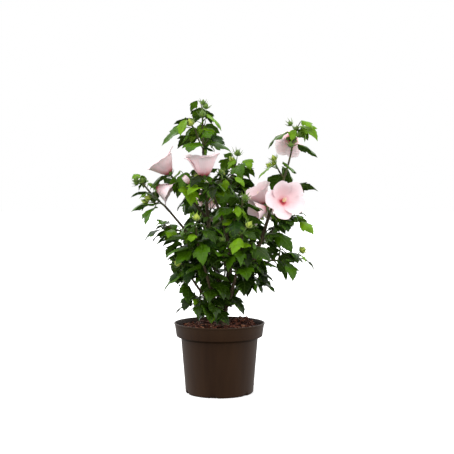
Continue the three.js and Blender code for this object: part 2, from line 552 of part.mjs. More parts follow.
// Leaves stand alternately round each stem, each a golden turn on from the last. One with no room
// tries to either side, and is left out if it still has none.
function growLeaves(name, mass, index, others) {
  const next = series(index + 1);
  const fused = [];
  let turn = mass.turn;
  for (const stem of stemsOf(mass)) {
    const line = path(stem);
    const length = lengthOf(line);
    const count = Math.max(2, Math.floor((length * (1 - stem.first)) / mass.gap) + 1);
    for (let i = 0; i < count; i++) {
      const t = lerp(stem.first, 0.97, i / (count - 1));
      if (t > stem.bare[0] && t < stem.bare[1]) continue;
      const { ahead, u, v } = frameAt(line, t);
      const size = lerp(mass.leaf[0], mass.leaf[1], t) * (0.82 + 0.36 * next());
      const spread = radians(42 + 24 * next());
      const stalk = size * (0.2 + 0.16 * next());
      const held = Object.values(posture).map(([from, to]) => radians(lerp(from, to, next())));
      const [pitch, curl, roll, fold] = held;
      const jitter = 24 * (next() - 0.5);
      for (const shift of [0, 25, -25, 50, -50, 75, -75, 100, -100]) {
        const angle = radians(turn + jitter + shift);
        const out = u.clone().multiplyScalar(Math.cos(angle)).addScaledVector(v, Math.sin(angle));
        const away = out.multiplyScalar(Math.sin(spread)).addScaledVector(ahead, Math.cos(spread));
        const root = line(t);
        const base = root.clone().addScaledVector(away, stalk);
        const heading = Math.atan2(away.y, away.x);
        const leaf = { root, base, heading, pitch, curl, roll, fold, length: size };
        if (!leafIsClear(leaf, name)) continue;
        const test = leafSolid(leaf, clearance);
        if (others.some((other) => touches(test, other))) continue;
        const solid = leafSolid(leaf);
        fused.push(solid);
        others.push(solid);
        for (const [x, y] of feelers) taken.push({ p: bladePoint(leaf, x, y), leaf: true, owner: name });
        break;
      }
      turn += goldenTurn;
    }
  }
  return fused;
}

// The middle of the space inside a bloom.
function heartOf(bloom) {
  return vector(bloom.calyx).addScaledVector(vector(bloom.faces).normalize(), bloom.depth / 2);
}

// Buds stand on short stalks among the last leaves of each stem, and none inside a bloom.
function growBuds(mass, index) {
  const next = series(index + 500);
  const stems = stemsOf(mass);
  const buds = [];
  for (let i = 0; i < mass.buds; i++) {
    const stem = stems[i % stems.length];
    const line = path(stem);
    const t = 1 - 0.09 * Math.floor(i / stems.length);
    const { ahead, u, v } = frameAt(line, t);
    const angle = radians(mass.turn + 70 + goldenTurn * i);
    const spread = radians(12 + 38 * next());
    const out = u.clone().multiplyScalar(Math.cos(angle)).addScaledVector(v, Math.sin(angle));
    const faces = out.multiplyScalar(Math.sin(spread)).addScaledVector(ahead, Math.cos(spread)).normalize();
    const stalk = 9 + 8 * next();
    const radius = 5.2 + 2 * next();
    const at = line(t).addScaledVector(faces, stalk);
    if (blooms.some((bloom) => heartOf(bloom).distanceTo(at) < 0.75 * bloom.radius + 5)) continue;
    buds.push({ root: line(t), at, faces, radius, length: radius * 2.5 });
  }
  return buds;
}

const colours = {
  pot: "#4a382c", compost: "#4b2a1c", bark: "#5c4936", leaf: "#3c7a1c",
};
const materials = {
  pot: new THREE.MeshStandardMaterial({ color: colours.pot, roughness: 0.45, metalness: 0 }),
  compost: new THREE.MeshStandardMaterial({ color: colours.compost, roughness: 0.95, metalness: 0 }),
  bark: new THREE.MeshStandardMaterial({ color: colours.bark, roughness: 0.85, metalness: 0 }),
  foliage: new THREE.MeshStandardMaterial({ color: colours.leaf, roughness: 0.5, metalness: 0 }),
};

// The largest body of a solid that a cut may have parted.
function mainBody(solid) {
  return solid.decompose().reduce((a, b) => (b.volume() > a.volume() ? b : a));
}

// True where each edge of a mesh belongs to two faces, which run along it opposite ways.
function isSound(geometry) {
  const seen = new Set();
  const index = mergeVertices(geometry, 1e-3).index.array;
  for (let i = 0; i < index.length; i++) {
    const edge = `${index[i]}-${index[i % 3 === 2 ? i - 2 : i + 1]}`;
    if (seen.has(edge)) return false;
    seen.add(edge);
  }
  return true;
}

// Joins points that all but coincide, trying other distances until the mesh is sound, or gives null.
function cleaned(solid) {
  for (const nearest of [0.01, 0.02, 0.03, 0.05, 0.015, 0.025, 0.07, 0.1]) {
    const geometry = geometryFrom(solid.simplify(nearest));
    try {
      const welded = geometryFrom(mainBody(solidFrom(geometry, nearest)));
      if (isSound(welded)) return welded;
    } catch {
      continue;
    }
  }
  return null;
}

// Fuses leaves to a mass, less the one that keeps the mesh from being sound, if there is one.
function joinedMass(framework, leaves) {
  for (let left = leaves.length; left >= 0; left--) {
    const joined = wasm.Manifold.union([framework, ...leaves.filter((_, i) => i !== left)]);
    const body = mainBody(joined);
    if (cleaned(body)) return body;
  }
  throw new Error("a mass isn't sound");
}

const shrub = new THREE.Group();
function addNode(name, solid, material) {
  const mesh = new THREE.Mesh(cleaned(solid), material);
  mesh.name = name;
  shrub.add(mesh);
}

// The boughs and stems meet with an even gap: each is cut by its grown neighbours.
const limbSides = 6;
const stemSides = 4;
const shootSides = 3;
addNode("pot", potSolid(), materials.pot);
addNode("compost", compostSolid(), materials.compost);
const solids = { pot: potSolid(), compost: compostSolid(), trunk: trunkSolid() };
const grown = { trunk: trunkSolid(clearance) };
addNode("trunk", solids.trunk, materials.bark);
for (const [name, bough] of Object.entries(boughs)) {
  const line = path(bough);
  const steps = Math.ceil(lengthOf(line) / 40);
  const whole = tube(line, bough.radii, limbSides, steps);
  const solid = mainBody(whole.subtract(wasm.Manifold.union(Object.values(grown))));
  grown[name] = tube(line, bough.radii, limbSides, steps, clearance);
  solids[name] = solid;
  addNode(name, solid, materials.bark);
}

// Each mass first gets its stems, buds and blooms, cut clear of the limbs and of the other masses.
const frameworks = {};
Object.entries(masses).forEach(([name, mass], index) => {
  const parts = stemsOf(mass).map((stem, k) =>
    tube(path(stem), stem.radii, k ? shootSides : stemSides, Math.ceil(lengthOf(path(stem)) / 40)));
  for (const bud of growBuds(mass, index)) {
    taken.push({ p: bud.at.clone().addScaledVector(bud.faces, bud.length / 2), r: 8, owner: "bud" });
    parts.push(budSolid(bud));
  }
  for (const bloom of blooms.filter((b) => b.mass === name)) {
    parts.push(bloomSolid(bloom, path(mass)(bloom.at)));
  }
  const joined = wasm.Manifold.union(parts);
  frameworks[name] = mainBody(joined.subtract(wasm.Manifold.union(Object.values(grown))));
  grown[name] = tube(path(mass), mass.radii, stemSides, 4, clearance);
});

// Then its leaves are fused on, apart from any that would touch another piece or leaf.
let count = 0;
const accepted = [];
Object.entries(masses).forEach(([name, mass], index) => {
  const others = [...Object.values(solids), ...accepted];
  for (const other of Object.keys(masses)) if (other !== name) others.push(frameworks[other]);
  const leaves = growLeaves(name, mass, index, others);
  accepted.push(...leaves);
  count += leaves.length;
  addNode(name, joinedMass(frameworks[name], leaves), materials.foliage);
});
console.log(`${count} leaves`);

export default shrub;
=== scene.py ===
# A hibiscus shrub in flower, in a brown nursery pot of bark compost: its finish, foliage and flowers.
# Shapes are worked out in millimetres with +Z up, and turned to metres when their mesh is made.
import functools
import math
import bpy
import numpy as np
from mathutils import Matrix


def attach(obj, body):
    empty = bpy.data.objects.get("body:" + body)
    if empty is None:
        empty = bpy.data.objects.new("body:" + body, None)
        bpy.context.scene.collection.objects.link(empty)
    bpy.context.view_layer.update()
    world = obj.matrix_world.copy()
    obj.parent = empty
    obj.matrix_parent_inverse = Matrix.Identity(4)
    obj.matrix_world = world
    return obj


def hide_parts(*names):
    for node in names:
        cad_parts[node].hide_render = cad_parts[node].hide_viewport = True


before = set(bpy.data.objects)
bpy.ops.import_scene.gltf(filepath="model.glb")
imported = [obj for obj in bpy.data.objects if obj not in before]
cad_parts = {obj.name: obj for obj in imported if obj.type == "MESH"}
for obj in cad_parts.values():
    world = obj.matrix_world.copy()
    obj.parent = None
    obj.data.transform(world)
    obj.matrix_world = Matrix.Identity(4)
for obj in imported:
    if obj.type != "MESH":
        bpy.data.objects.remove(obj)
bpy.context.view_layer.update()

mm = 0.001
goldenTurn = 137.5  # degrees from one leaf to the next round a stem
seeds = {"leaves": 1, "buds": 500, "ways": 900, "fine": 3000, "petals": 7000, "bracts": 8100, "stamens": 8400}
cellMargin = 0.03  # left free round each cell of a surface map, in shares of the cell
print("frame loaded,", len(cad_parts), "nodes")


# General helpers

def linear(hexCode):
    # sRGB to linear light: v / 12.92 up to 0.04045, and above it ((v + 0.055) / 1.055) to the power 2.4
    v = np.array([int(hexCode[i:i + 2], 16) for i in (1, 3, 5)]) / 255
    return (*np.where(v <= 0.04045, v / 12.92, ((v + 0.055) / 1.055) ** 2.4).tolist(), 1.0)


def shaded(hexCode, share):
    # a colour with its light scaled
    return (*np.minimum(1, share * np.array(linear(hexCode)[:3])).tolist(), 1.0)


def addNode(tree, kind, values):
    # each value goes to the socket of that name or number, to a ramp's stops or to the node itself;
    # a socket is linked, and a node by its first output
    node = tree.nodes.new("ShaderNode" + kind)
    for name, value in values.items():
        if isinstance(value, bpy.types.Node):
            value = value.outputs[0]
        if isinstance(value, bpy.types.NodeSocket):
            tree.links.new(value, node.inputs[name])
        elif isinstance(name, int) or name in node.inputs:
            node.inputs[name].default_value = value
        elif name == "stops":
            ends = node.color_ramp.elements
            for end, (position, colour) in zip(ends, (value[0], value[-1])):
                end.position = position
                end.color = colour
            for position, colour in value[1:-1]:
                ends.new(position).color = colour
        else:
            setattr(node, name, value)
    return node


def clearedTree(owner):
    # gives the function that adds a node to the emptied tree of a material or world
    owner.use_nodes = True
    owner.node_tree.nodes.clear()
    return functools.partial(addNode, owner.node_tree)


def newMaterial(name, finish, *values):
    # finish adds the nodes, patterned by places on the object in metres, and gives their shader
    material = bpy.data.materials.new(name)
    add = clearedTree(material)
    place = add("TexCoord", {}).outputs["Object"]
    add("OutputMaterial", {"Surface": finish(add, place, *values)})
    return material


def mottled(add, place, patch, stops, fine, bump, sheen):
    # patches, of a size, detail and roughness, run through the stops' colours; the bump, of a strength
    # and height, is raised by a finer pattern of that size, or by the patches where there is none
    size, detail, rough = patch
    patches = add("TexNoise", {"Scale": 1 / size, "Detail": detail, "Roughness": rough, "Vector": place})
    colour = add("ValToRGB", {"stops": stops, "Fac": patches})
    relief = patches
    if fine:
        relief = add("TexNoise", {"Scale": 1 / fine, "Detail": 2.0, "Vector": place})
    raised = add("Bump", {"Strength": bump[0], "Distance": bump[1], "Height": relief})
    return add("BsdfPrincipled", {**sheen, "Base Color": colour, "Normal": raised})


def unit(v):
    return v / np.maximum(np.linalg.norm(v, axis=-1, keepdims=True), 1e-9)


def mix(a, b, t):
    return a + (b - a) * t


def smoothStep(v, low, high):
    t = np.clip((v - low) / (high - low), 0, 1)
    return t * t * (3 - 2 * t)


def series(seed):
    # repeatable numbers from 0 to 1: each state is 16807 times the last, modulo 2147483647
    state = [7919 * seed + 104729]

    def draw():
        state[0] = state[0] * 16807 % 2147483647
        return state[0] / 2147483647

    draw()
    draw()
    return draw


def centreLine(limb):
    # start + (to - start) t, pushed out in the middle by bow 4 t (1 - t)
    start, end, bow = (np.array(limb[key], float) for key in ("start", "to", "bow"))

    def place(t):
        t = np.asarray(t, float)[..., None]
        return start + (end - start) * t + bow * 4 * t * (1 - t)

    return place


def lengthOf(line):
    return np.linalg.norm(np.diff(line(np.linspace(0, 1, 17)), axis=0), axis=1).sum()


def squareTo(ahead, side):
    # u = side x ahead and v = ahead x u, so u, v and ahead are square to one another
    u = unit(np.cross(side, ahead))
    return u, np.cross(ahead, u)


def turnsOf(count):
    # equal steps once round
    return np.arange(count) / count * 2 * np.pi


def between(a, b, angle):
    # the direction at an angle from a towards b
    return a * math.cos(angle) + b * math.sin(angle)


def around(u, v, angle, radius=1.0):
    # the places at those angles and radii round an axis
    return (radius * np.cos(angle))[..., None] * u + (radius * np.sin(angle))[..., None] * v


def lineFrame(line, t):
    # the direction of a line at t, and two directions square to it
    t = np.asarray(t, float)
    ahead = unit(line(np.minimum(1, t + 0.01)) - line(np.maximum(0, t - 0.01)))
    side = np.where(np.abs(ahead[..., 1:2]) > 0.8, [1.0, 0, 0], [0, 1.0, 0])
    return (ahead, *squareTo(ahead, side))


def gridFaces(rows, columns, closed=False):
    # corners of each cell of a grid kept row by row; closed joins the last column to the first
    row = np.arange(rows - 1)[:, None] * columns
    here = np.arange(columns if closed else columns - 1)[None, :]
    after = (here + 1) % columns
    return np.stack([row + here, row + after, row + columns + after, row + columns + here], -1).reshape(-1, 4)


def gridCorners(rows, columns, closed=False):
    # the place in 0..1 across and 0..1 along of each corner in gridFaces
    cells = columns if closed else columns - 1
    i, j = np.meshgrid(np.arange(rows - 1), np.arange(cells), indexing="ij")
    across = np.stack([j, j + 1, j + 1, j], -1) / cells
    along = np.stack([i, i, i + 1, i + 1], -1) / (rows - 1)
    return np.stack([across, along], -1).reshape(-1, 4, 2)


def inCell(uv, cell, cells):
    # lays a 0..1 pattern into one cell of a square sheet of cells, with a margin round it
    corner = np.stack([np.asarray(cell) % cells, np.asarray(cell) // cells], -1)
    return (corner[..., None, None, :] + cellMargin + (1 - 2 * cellMargin) * uv) / cells


def fromCell(add, cell, cells):
    # the other way: the 0..1 place within a cell, from the mesh's own map
    scale = cells / (1 - 2 * cellMargin)
    shift = [-(c + cellMargin) / (1 - 2 * cellMargin) for c in (cell % cells, cell // cells)]
    uv = add("UVMap", {"uv_map": "OFBake"})
    return add("Mapping", {"Location": (*shift, 0), "Scale": (scale, scale, 1), "Vector": uv})


def part(points, faces, uv, tint=0):
    # points of one shape (n, 3) or of many alike (count, n, 3), with the faces that each has
    points = np.asarray(points, float)
    points = points.reshape((-1, *points.shape[-2:]))
    count, size = points.shape[:2]
    corners = (faces + np.arange(count)[:, None, None] * size).reshape(-1, 4)
    uv = np.broadcast_to(uv, (count, len(faces), 4, 2)).reshape(-1, 4, 2)
    tint = np.asarray(tint)
    if tint.ndim < 2:
        tint = tint.reshape(-1, 1)
    tint = np.broadcast_to(tint, (count, len(faces)))
    return {"points": points.reshape(-1, 3), "corners": corners, "uv": uv, "tint": tint.reshape(-1)}


def roundPart(points, rows, columns, cell, cells, tint=0):
    # a surface whose rows close round an axis
    uv = inCell(gridCorners(rows, columns, True), cell, cells)
    return part(points, gridFaces(rows, columns, True), uv, tint)


def newPiece(name, parts, materials, nodes, crease=50):
    # joins parts into one mesh; points that coincide are welded, and faces with no area are dropped
    starts = np.cumsum([0] + [len(p["points"]) for p in parts])
    points = np.concatenate([p["points"] for p in parts])
    corners = np.concatenate([p["corners"] + start for p, start in zip(parts, starts)])
    uv = np.concatenate([p["uv"] for p in parts])
    tint = np.concatenate([p["tint"] for p in parts])
    _, first, index = np.unique(np.round(points * 1e4).astype(np.int64), axis=0,
                                return_index=True, return_inverse=True)
    corners = index.reshape(-1)[corners]
    kept = corners != np.roll(corners, -1, axis=1)
    whole = (kept.sum(axis=1) > 2) & (corners[:, 0] != corners[:, 2]) & (corners[:, 1] != corners[:, 3])
    kept &= whole[:, None]
    sizes = kept.sum(axis=1)[whole]
    mesh = bpy.data.meshes.new(name)
    mesh.vertices.add(len(first))
    mesh.vertices.foreach_set("co", (points[first] * mm).ravel())
    mesh.loops.add(int(kept.sum()))
    mesh.loops.foreach_set("vertex_index", corners[kept].astype(np.int32))
    mesh.polygons.add(len(sizes))
    mesh.polygons.foreach_set("loop_start", np.concatenate([[0], np.cumsum(sizes)[:-1]]).astype(np.int32))
    mesh.update(calc_edges=True)
    for material in materials:
        mesh.materials.append(material)
    mesh.polygons.foreach_set("material_index", tint[whole].astype(np.int32))
    mesh.uv_layers.new(name="OFBake").data.foreach_set("uv", uv[kept].ravel())
    mesh.shade_smooth()
    mesh.set_sharp_from_angle(angle=math.radians(crease))
    mesh.validate()
    piece = bpy.data.objects.new(name, mesh)
    bpy.context.scene.collection.objects.link(piece)
    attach(piece, "root")
    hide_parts(*nodes)
    print(f"{name}: {int((sizes - 2).sum())} triangles")


def ringSurface(centres, u, v, radius, radiusV=None):
    # ring k is centre + u radius cos(a) + v radius sin(a); any leading axes hold many such tubes
    angle = turnsOf(radius.shape[-1])
    radiusV = radius if radiusV is None else radiusV
    points = (centres[..., None, :] + u[..., None, :] * (radius * np.cos(angle))[..., None]
              + v[..., None, :] * (radiusV * np.sin(angle))[..., None])
    return points.reshape((*points.shape[:-3], -1, 3))


# The plant, by the same rule as the part's source

trunk = {"start": (5, 0, 139.3), "to": (10, 0, 186), "bow": (0, 0, 0), "radii": (10.5, 8), "flare": 6}

boughs = {
    "right_bough": dict(on="trunk", at=0.8, to=(105, 10, 376), bow=(9, 0, -8), radii=(6, 3.3)),
    "tall_bough": dict(on="trunk", at=0.98, to=(-30, 13, 430), bow=(-6, 3, 0), radii=(5.4, 2.9)),
    "centre_bough": dict(on="trunk", at=0.9, to=(-8, -50, 402), bow=(21, -3, -6), radii=(5, 2.7)),
    "back_bough": dict(on="trunk", at=0.85, to=(20, 62, 392), bow=(6, 14, 0), radii=(4.6, 2.6)),
    "back_left_bough": dict(on="trunk", at=0.7, to=(-34, 66, 318), bow=(-4, 8, -6), radii=(4, 2.5)),
    "back_right_bough": dict(on="trunk", at=0.62, to=(50, 64, 306), bow=(2, 6, -8), radii=(4, 2.5)),
    "front_left_bough": dict(on="trunk", at=0.55, to=(-30, -60, 268), bow=(-2, -6, -8), radii=(3.8, 2.4)),
    "front_right_bough": dict(on="trunk", at=0.66, to=(36, -60, 264), bow=(2, -6, -8), radii=(3.8, 2.4)),
    "left_low_bough": dict(on="tall_bough", at=0.3, to=(-113, -20, 391), bow=(6, 0, -5), radii=(3.6, 2.2)),
    "left_upper_bough": dict(on="tall_bough", at=0.72, to=(-66, -12, 416), bow=(0, 0, -2), radii=(2.8, 2.1)),
    "right_low_bough": dict(on="right_bough", at=0.56, to=(106, -4, 277), bow=(0, 0, -9), radii=(2.9, 2)),
    "right_foot_bough": dict(on="right_bough", at=0.16, to=(60, 14, 238), bow=(0, 0, -2), radii=(2.6, 1.9)),
    "left_foot_bough": dict(on="trunk", at=0.5, to=(-60, -24, 246), bow=(0, 0, -7), radii=(3.4, 2.1)),
    "back_foot_bough": dict(on="trunk", at=0.4, to=(6, 56, 208), bow=(0, 0, -5), radii=(3.4, 2.1)),
}

# gap is the distance between leaves along a stem, turn the first leaf's direction, and leaf gives
# blade lengths at the foot and the tip of the stem; what most masses share is added below.
masses = {
    "tall_crown": dict(on="tall_bough", to=(-35, 4, 590), bow=(-2, 0, 0), radii=(2.5, 1.6), gap=12, turn=10,
                       leaf=(62, 56), buds=5, shoots=[(0.5, (-51, -8, 550))], bare=(0, 0.5)),
    "left_crown": dict(on="left_upper_bough", to=(-103, -20, 458), bow=(0, 0, -2), radii=(2, 1.6), gap=12,
                       turn=200, leaf=(58, 44), buds=2, shoots=[(0.5, (-62, -40, 442))]),
    "left_tip": dict(on="left_low_bough", to=(-158, -30, 438), bow=(0, 0, -3), radii=(2, 1.6), gap=10,
                     turn=150, leaf=(56, 34), buds=6, shoots=[(0.25, (-135, -20, 398))]),
    "right_crown": dict(on="right_bough", to=(158, 25, 552), bow=(9, 0, 0), radii=(2.6, 1.6), gap=17,
                        turn=72, leaf=(62, 54), buds=7, shoots=[(0.42, (122, 24, 470))], bare=(0.54, 0.74)),
    "right_bloom": dict(on="right_bough", at=0.97, to=(130, 22, 366), bow=(0, 0, 2), gap=11, turn=250,
                        leaf=(46, 40), buds=1, shoots=[(0.3, (160, -8, 364))]),
    "centre_crown": dict(on="centre_bough", to=(-24, -56, 448), gap=11, turn=160, leaf=(60, 50), buds=4,
                         shoots=[(0.25, (-60, -52, 436)), (0.4, (6, -58, 446))]),
    "right_low_crown": dict(on="right_low_bough", to=(160, -15, 289), bow=(0, 0, -4), radii=(1.9, 1.6),
                            gap=9, turn=30, leaf=(52, 38), buds=2, shoots=[(0.3, (128, 20, 300))]),
    "left_foot_crown": dict(on="left_foot_bough", to=(-73, -31, 266), radii=(2, 1.6), gap=8, turn=170,
                            leaf=(54, 44), buds=1, shoots=[(0.1, (-74, -20, 232))]),
    "right_foot_crown": dict(on="right_foot_bough", to=(76, 20, 246), radii=(1.9, 1.6), gap=8, turn=250,
                             leaf=(50, 46), shoots=[(0.2, (70, -6, 226))]),
    "base_crown": dict(on="trunk", at=0.3, to=(-52, -28, 206), bow=(0, 0, 2), radii=(2.6, 1.6), gap=9,
                       turn=200, leaf=(48, 42), shoots=[(0.5, (-38, -48, 200))]),
    "base_front_crown": dict(on="trunk", at=0.42, to=(-32, -46, 204), bow=(0, 0, 3), radii=(2.4, 1.6),
                             gap=10, turn=120, leaf=(46, 42), shoots=[(0.6, (-20, -58, 190))]),
    "upper_right_crown": dict(on="back_bough", to=(36, 88, 484), bow=(-4, 0, 0), radii=(2.4, 1.6), gap=13,
                              turn=60, leaf=(62, 46), buds=4,
                              shoots=[(0.3, (8, 60, 448)), (0.35, (50, 100, 440))]),
    "back_left_crown": dict(on="back_left_bough", to=(-50, 112, 400), bow=(-4, 6, 0), radii=(2.4, 1.6),
                            gap=14, turn=80, leaf=(64, 48), buds=3, shoots=[(0.3, (-20, 110, 380))]),
    "back_right_crown": dict(on="back_right_bough", to=(62, 118, 398), bow=(4, 6, 0), radii=(2.4, 1.6),
                             gap=14, turn=120, leaf=(64, 48), buds=3, shoots=[(0.3, (76, 84, 356))]),
    "front_left_crown": dict(on="front_left_bough", to=(-46, -106, 350), bow=(-3, -6, 0), radii=(2.3, 1.6),
                             gap=12, turn=230, leaf=(60, 46), buds=2, shoots=[(0.3, (-66, -66, 318))]),
    "front_right_crown": dict(on="front_right_bough", to=(46, -112, 338), bow=(3, -6, 0), radii=(2.3, 1.6),
                              gap=12, turn=290, leaf=(62, 46), buds=2, shoots=[(0.3, (20, -92, 312))]),
    "back_foot_crown": dict(on="back_foot_bough", to=(12, 100, 246), bow=(0, 3, 0), radii=(2, 1.6), gap=9,
                            turn=60, leaf=(58, 46)),
    "fork_front_spur": dict(on="trunk", at=0.72, to=(-20, -40, 228), bow=(0, 0, 6), radii=(2.4, 1.6), gap=9,
                            turn=240, leaf=(54, 48)),
    "fork_left_spur": dict(on="trunk", at=0.92, to=(-30, -22, 246), radii=(2.4, 1.6), gap=8, turn=200,
                           leaf=(56, 48)),
    "tall_low_spur": dict(on="tall_bough", at=0.26, to=(-46, -36, 310), radii=(2.3, 1.6), gap=9, turn=150,
                          leaf=(58, 48)),
    "tall_back_spur": dict(on="tall_bough", at=0.2, to=(-36, 44, 262), radii=(2.3, 1.6), gap=11, turn=40,
                           leaf=(58, 50)),
    "centre_low_spur": dict(on="centre_bough", at=0.3, to=(6, -72, 296), radii=(2.3, 1.6), gap=9, turn=100,
                            leaf=(58, 48)),
    "right_low_spur": dict(on="right_bough", at=0.3, to=(66, -34, 276), gap=9, turn=320, leaf=(58, 48)),
    "right_back_spur": dict(on="right_bough", at=0.36, to=(74, 48, 296), gap=11, turn=20, leaf=(58, 48)),
    "back_spur": dict(on="back_bough", at=0.45, to=(2, 84, 322), gap=11, turn=90, leaf=(60, 50)),
    "back_upper_spur": dict(on="back_bough", at=0.72, to=(46, 62, 390), gap=11, turn=0, leaf=(58, 48)),
    "tall_spur": dict(on="tall_bough", at=0.46, to=(-58, 30, 340), bow=(0, 0, -4), gap=10, turn=20,
                      leaf=(60, 50)),
    "tall_inner_spur": dict(on="tall_bough", at=0.62, to=(28, 30, 388), bow=(0, 0, -4), gap=10, turn=300,
                            leaf=(60, 50), buds=1),
    "centre_spur": dict(on="centre_bough", at=0.52, to=(-28, -84, 344), bow=(0, 0, -4), gap=10, turn=120,
                        leaf=(58, 48)),
    "centre_right_spur": dict(on="centre_bough", at=0.7, to=(48, -66, 398), bow=(0, 0, -4), gap=10,
                              turn=200, leaf=(62, 50), buds=1),
    "right_inner_spur": dict(on="right_bough", at=0.45, to=(44, 34, 338), gap=10, turn=320, leaf=(58, 48)),
    "left_low_spur": dict(on="left_low_bough", at=0.62, to=(-114, -36, 352), bow=(0, 0, -2),
                          radii=(1.9, 1.6), gap=8, turn=200, leaf=(56, 46)),
    "left_mid_spur": dict(on="left_low_bough", at=0.2, to=(-84, -34, 312), bow=(0, 0, -2), radii=(2, 1.6),
                          gap=9, turn=160, leaf=(58, 48)),
    "right_outer_spur": dict(on="right_bough", at=0.72, to=(116, 26, 344), bow=(0, 0, -3), radii=(2, 1.6),
                             gap=9, turn=40, leaf=(56, 46)),
}
usual = dict(at=1, bow=(0, 0, 0), radii=(2.2, 1.6), buds=0, shoots=[], first=0.12, bare=(0, 0))
masses = {name: {**usual, **mass} for name, mass in masses.items()}

blooms = [
    dict(mass="left_crown", at=1, calyx=(-101, -20, 456), faces=(-0.62, -0.14, 0.78), radius=34, depth=45,
         spin=0.15),
    dict(mass="left_tip", at=0.4, calyx=(-131, -32, 430), faces=(0.88, -0.1, -0.36), radius=24, depth=36),
    dict(mass="centre_crown", at=1, calyx=(-29, -58, 449), faces=(-0.13, -0.12, 0.98), radius=37, depth=50,
         leans=(0, 0, 12, 0, 0)),
    dict(mass="centre_crown", at=0.6, calyx=(-60, -50, 437), faces=(-0.6, -0.3, 0.7), radius=8, depth=22),
    dict(mass="right_bloom", at=0.4, calyx=(131, -6, 399), faces=(0.22, -0.93, 0.27), radius=36, depth=31),
    dict(mass="right_bloom", at=0.1, calyx=(96, 22, 394), faces=(-0.5, -0.25, 0.8), radius=30, depth=40),
    dict(mass="right_bloom", at=0.2, calyx=(98, -14, 386), faces=(-0.85, -0.4, -0.25), radius=24, depth=36),
    dict(mass="right_crown", at=0.88, calyx=(154, 35, 533), faces=(-0.15, 0.7, -0.25), radius=30, depth=32),
    dict(mass="back_spur", at=1, calyx=(0, 92, 330), faces=(-0.1, 0.95, 0.2), radius=36, depth=40),
    dict(mass="back_left_crown", at=1, calyx=(-34, 124, 402), faces=(0.2, 0.92, 0.3), radius=34, depth=40),
    dict(mass="back_right_crown", at=0.7, calyx=(74, 108, 384), faces=(0.75, 0.5, 0.3), radius=34, depth=38),
]

for bloom in blooms:
    bloom["calyx"] = np.array(bloom["calyx"], float)
    bloom["faces"] = unit(np.array(bloom["faces"], float))

limbs = {"trunk": trunk, **boughs}
for limb in [*boughs.values(), *masses.values()]:
    limb["start"] = tuple(centreLine(limbs[limb["on"]])(limb["at"]))


shoot = {"bow": (0, 0, -3), "first": 0.3, "bare": (0, 0), "share": 0.85, "leastFoot": 1.7, "tip": 1.5}


def stemsOf(mass):
    # a mass's own stem, then each of its shoots; leaves start at first and leave out the bare stretch
    line = centreLine(mass)
    stems = [mass]
    for at, to in mass["shoots"]:
        foot = max(shoot["leastFoot"], mix(*mass["radii"], at) * shoot["share"])
        stems.append({**shoot, "start": tuple(line(at)), "to": to, "radii": (foot, shoot["tip"])})
    return stems


# The pot: a moulded plastic shell with a deep rim band and arched notches round its foot.
pot = {
    "height": 147, "rimRadius": 95, "bandHeight": 28, "bandFootRadius": 90, "ledgeHeight": 4.5,
    "shoulderRadius": 80.5, "footRadius": 71, "footChamfer": 2.5, "wall": 2, "floor": 3, "lip": 1,
    "notches": 6, "firstNotch": 1 / 3, "notchWidth": 14.5, "notchHeight": 6, "notchDepth": 6,
    "notchReach": 14,  # height over which the wall above a notch is drawn up
    "wallHeights": (4.5, 7, 10, 14, 40, 80), "bandSwell": (1.9, 13),
    "lipInset": 1.4, "lipHeights": (4.2, 2.6),
    "segments": 256,
}


def roundedProfile(corners, steps=5):
    # each corner (r, z, fillet) becomes the curve (1-t)^2 a + 2t(1-t) corner + t^2 b between two points
    # that lie the fillet's length before and after it
    corners = np.array(corners, float)
    t = np.linspace(0, 1, steps)[:, None]
    rows = [corners[:1, :2]]
    for before, (r, z, fillet), after in zip(corners[:-2], corners[1:-1], corners[2:]):
        here = np.array([r, z])
        if fillet == 0:
            rows.append(here[None])
            continue
        a = here + fillet * unit(before[:2] - here)
        b = here + fillet * unit(after[:2] - here)
        rows.append((1 - t) ** 2 * a + 2 * t * (1 - t) * here + t ** 2 * b)
    return np.concatenate([*rows, corners[-1:, :2]])


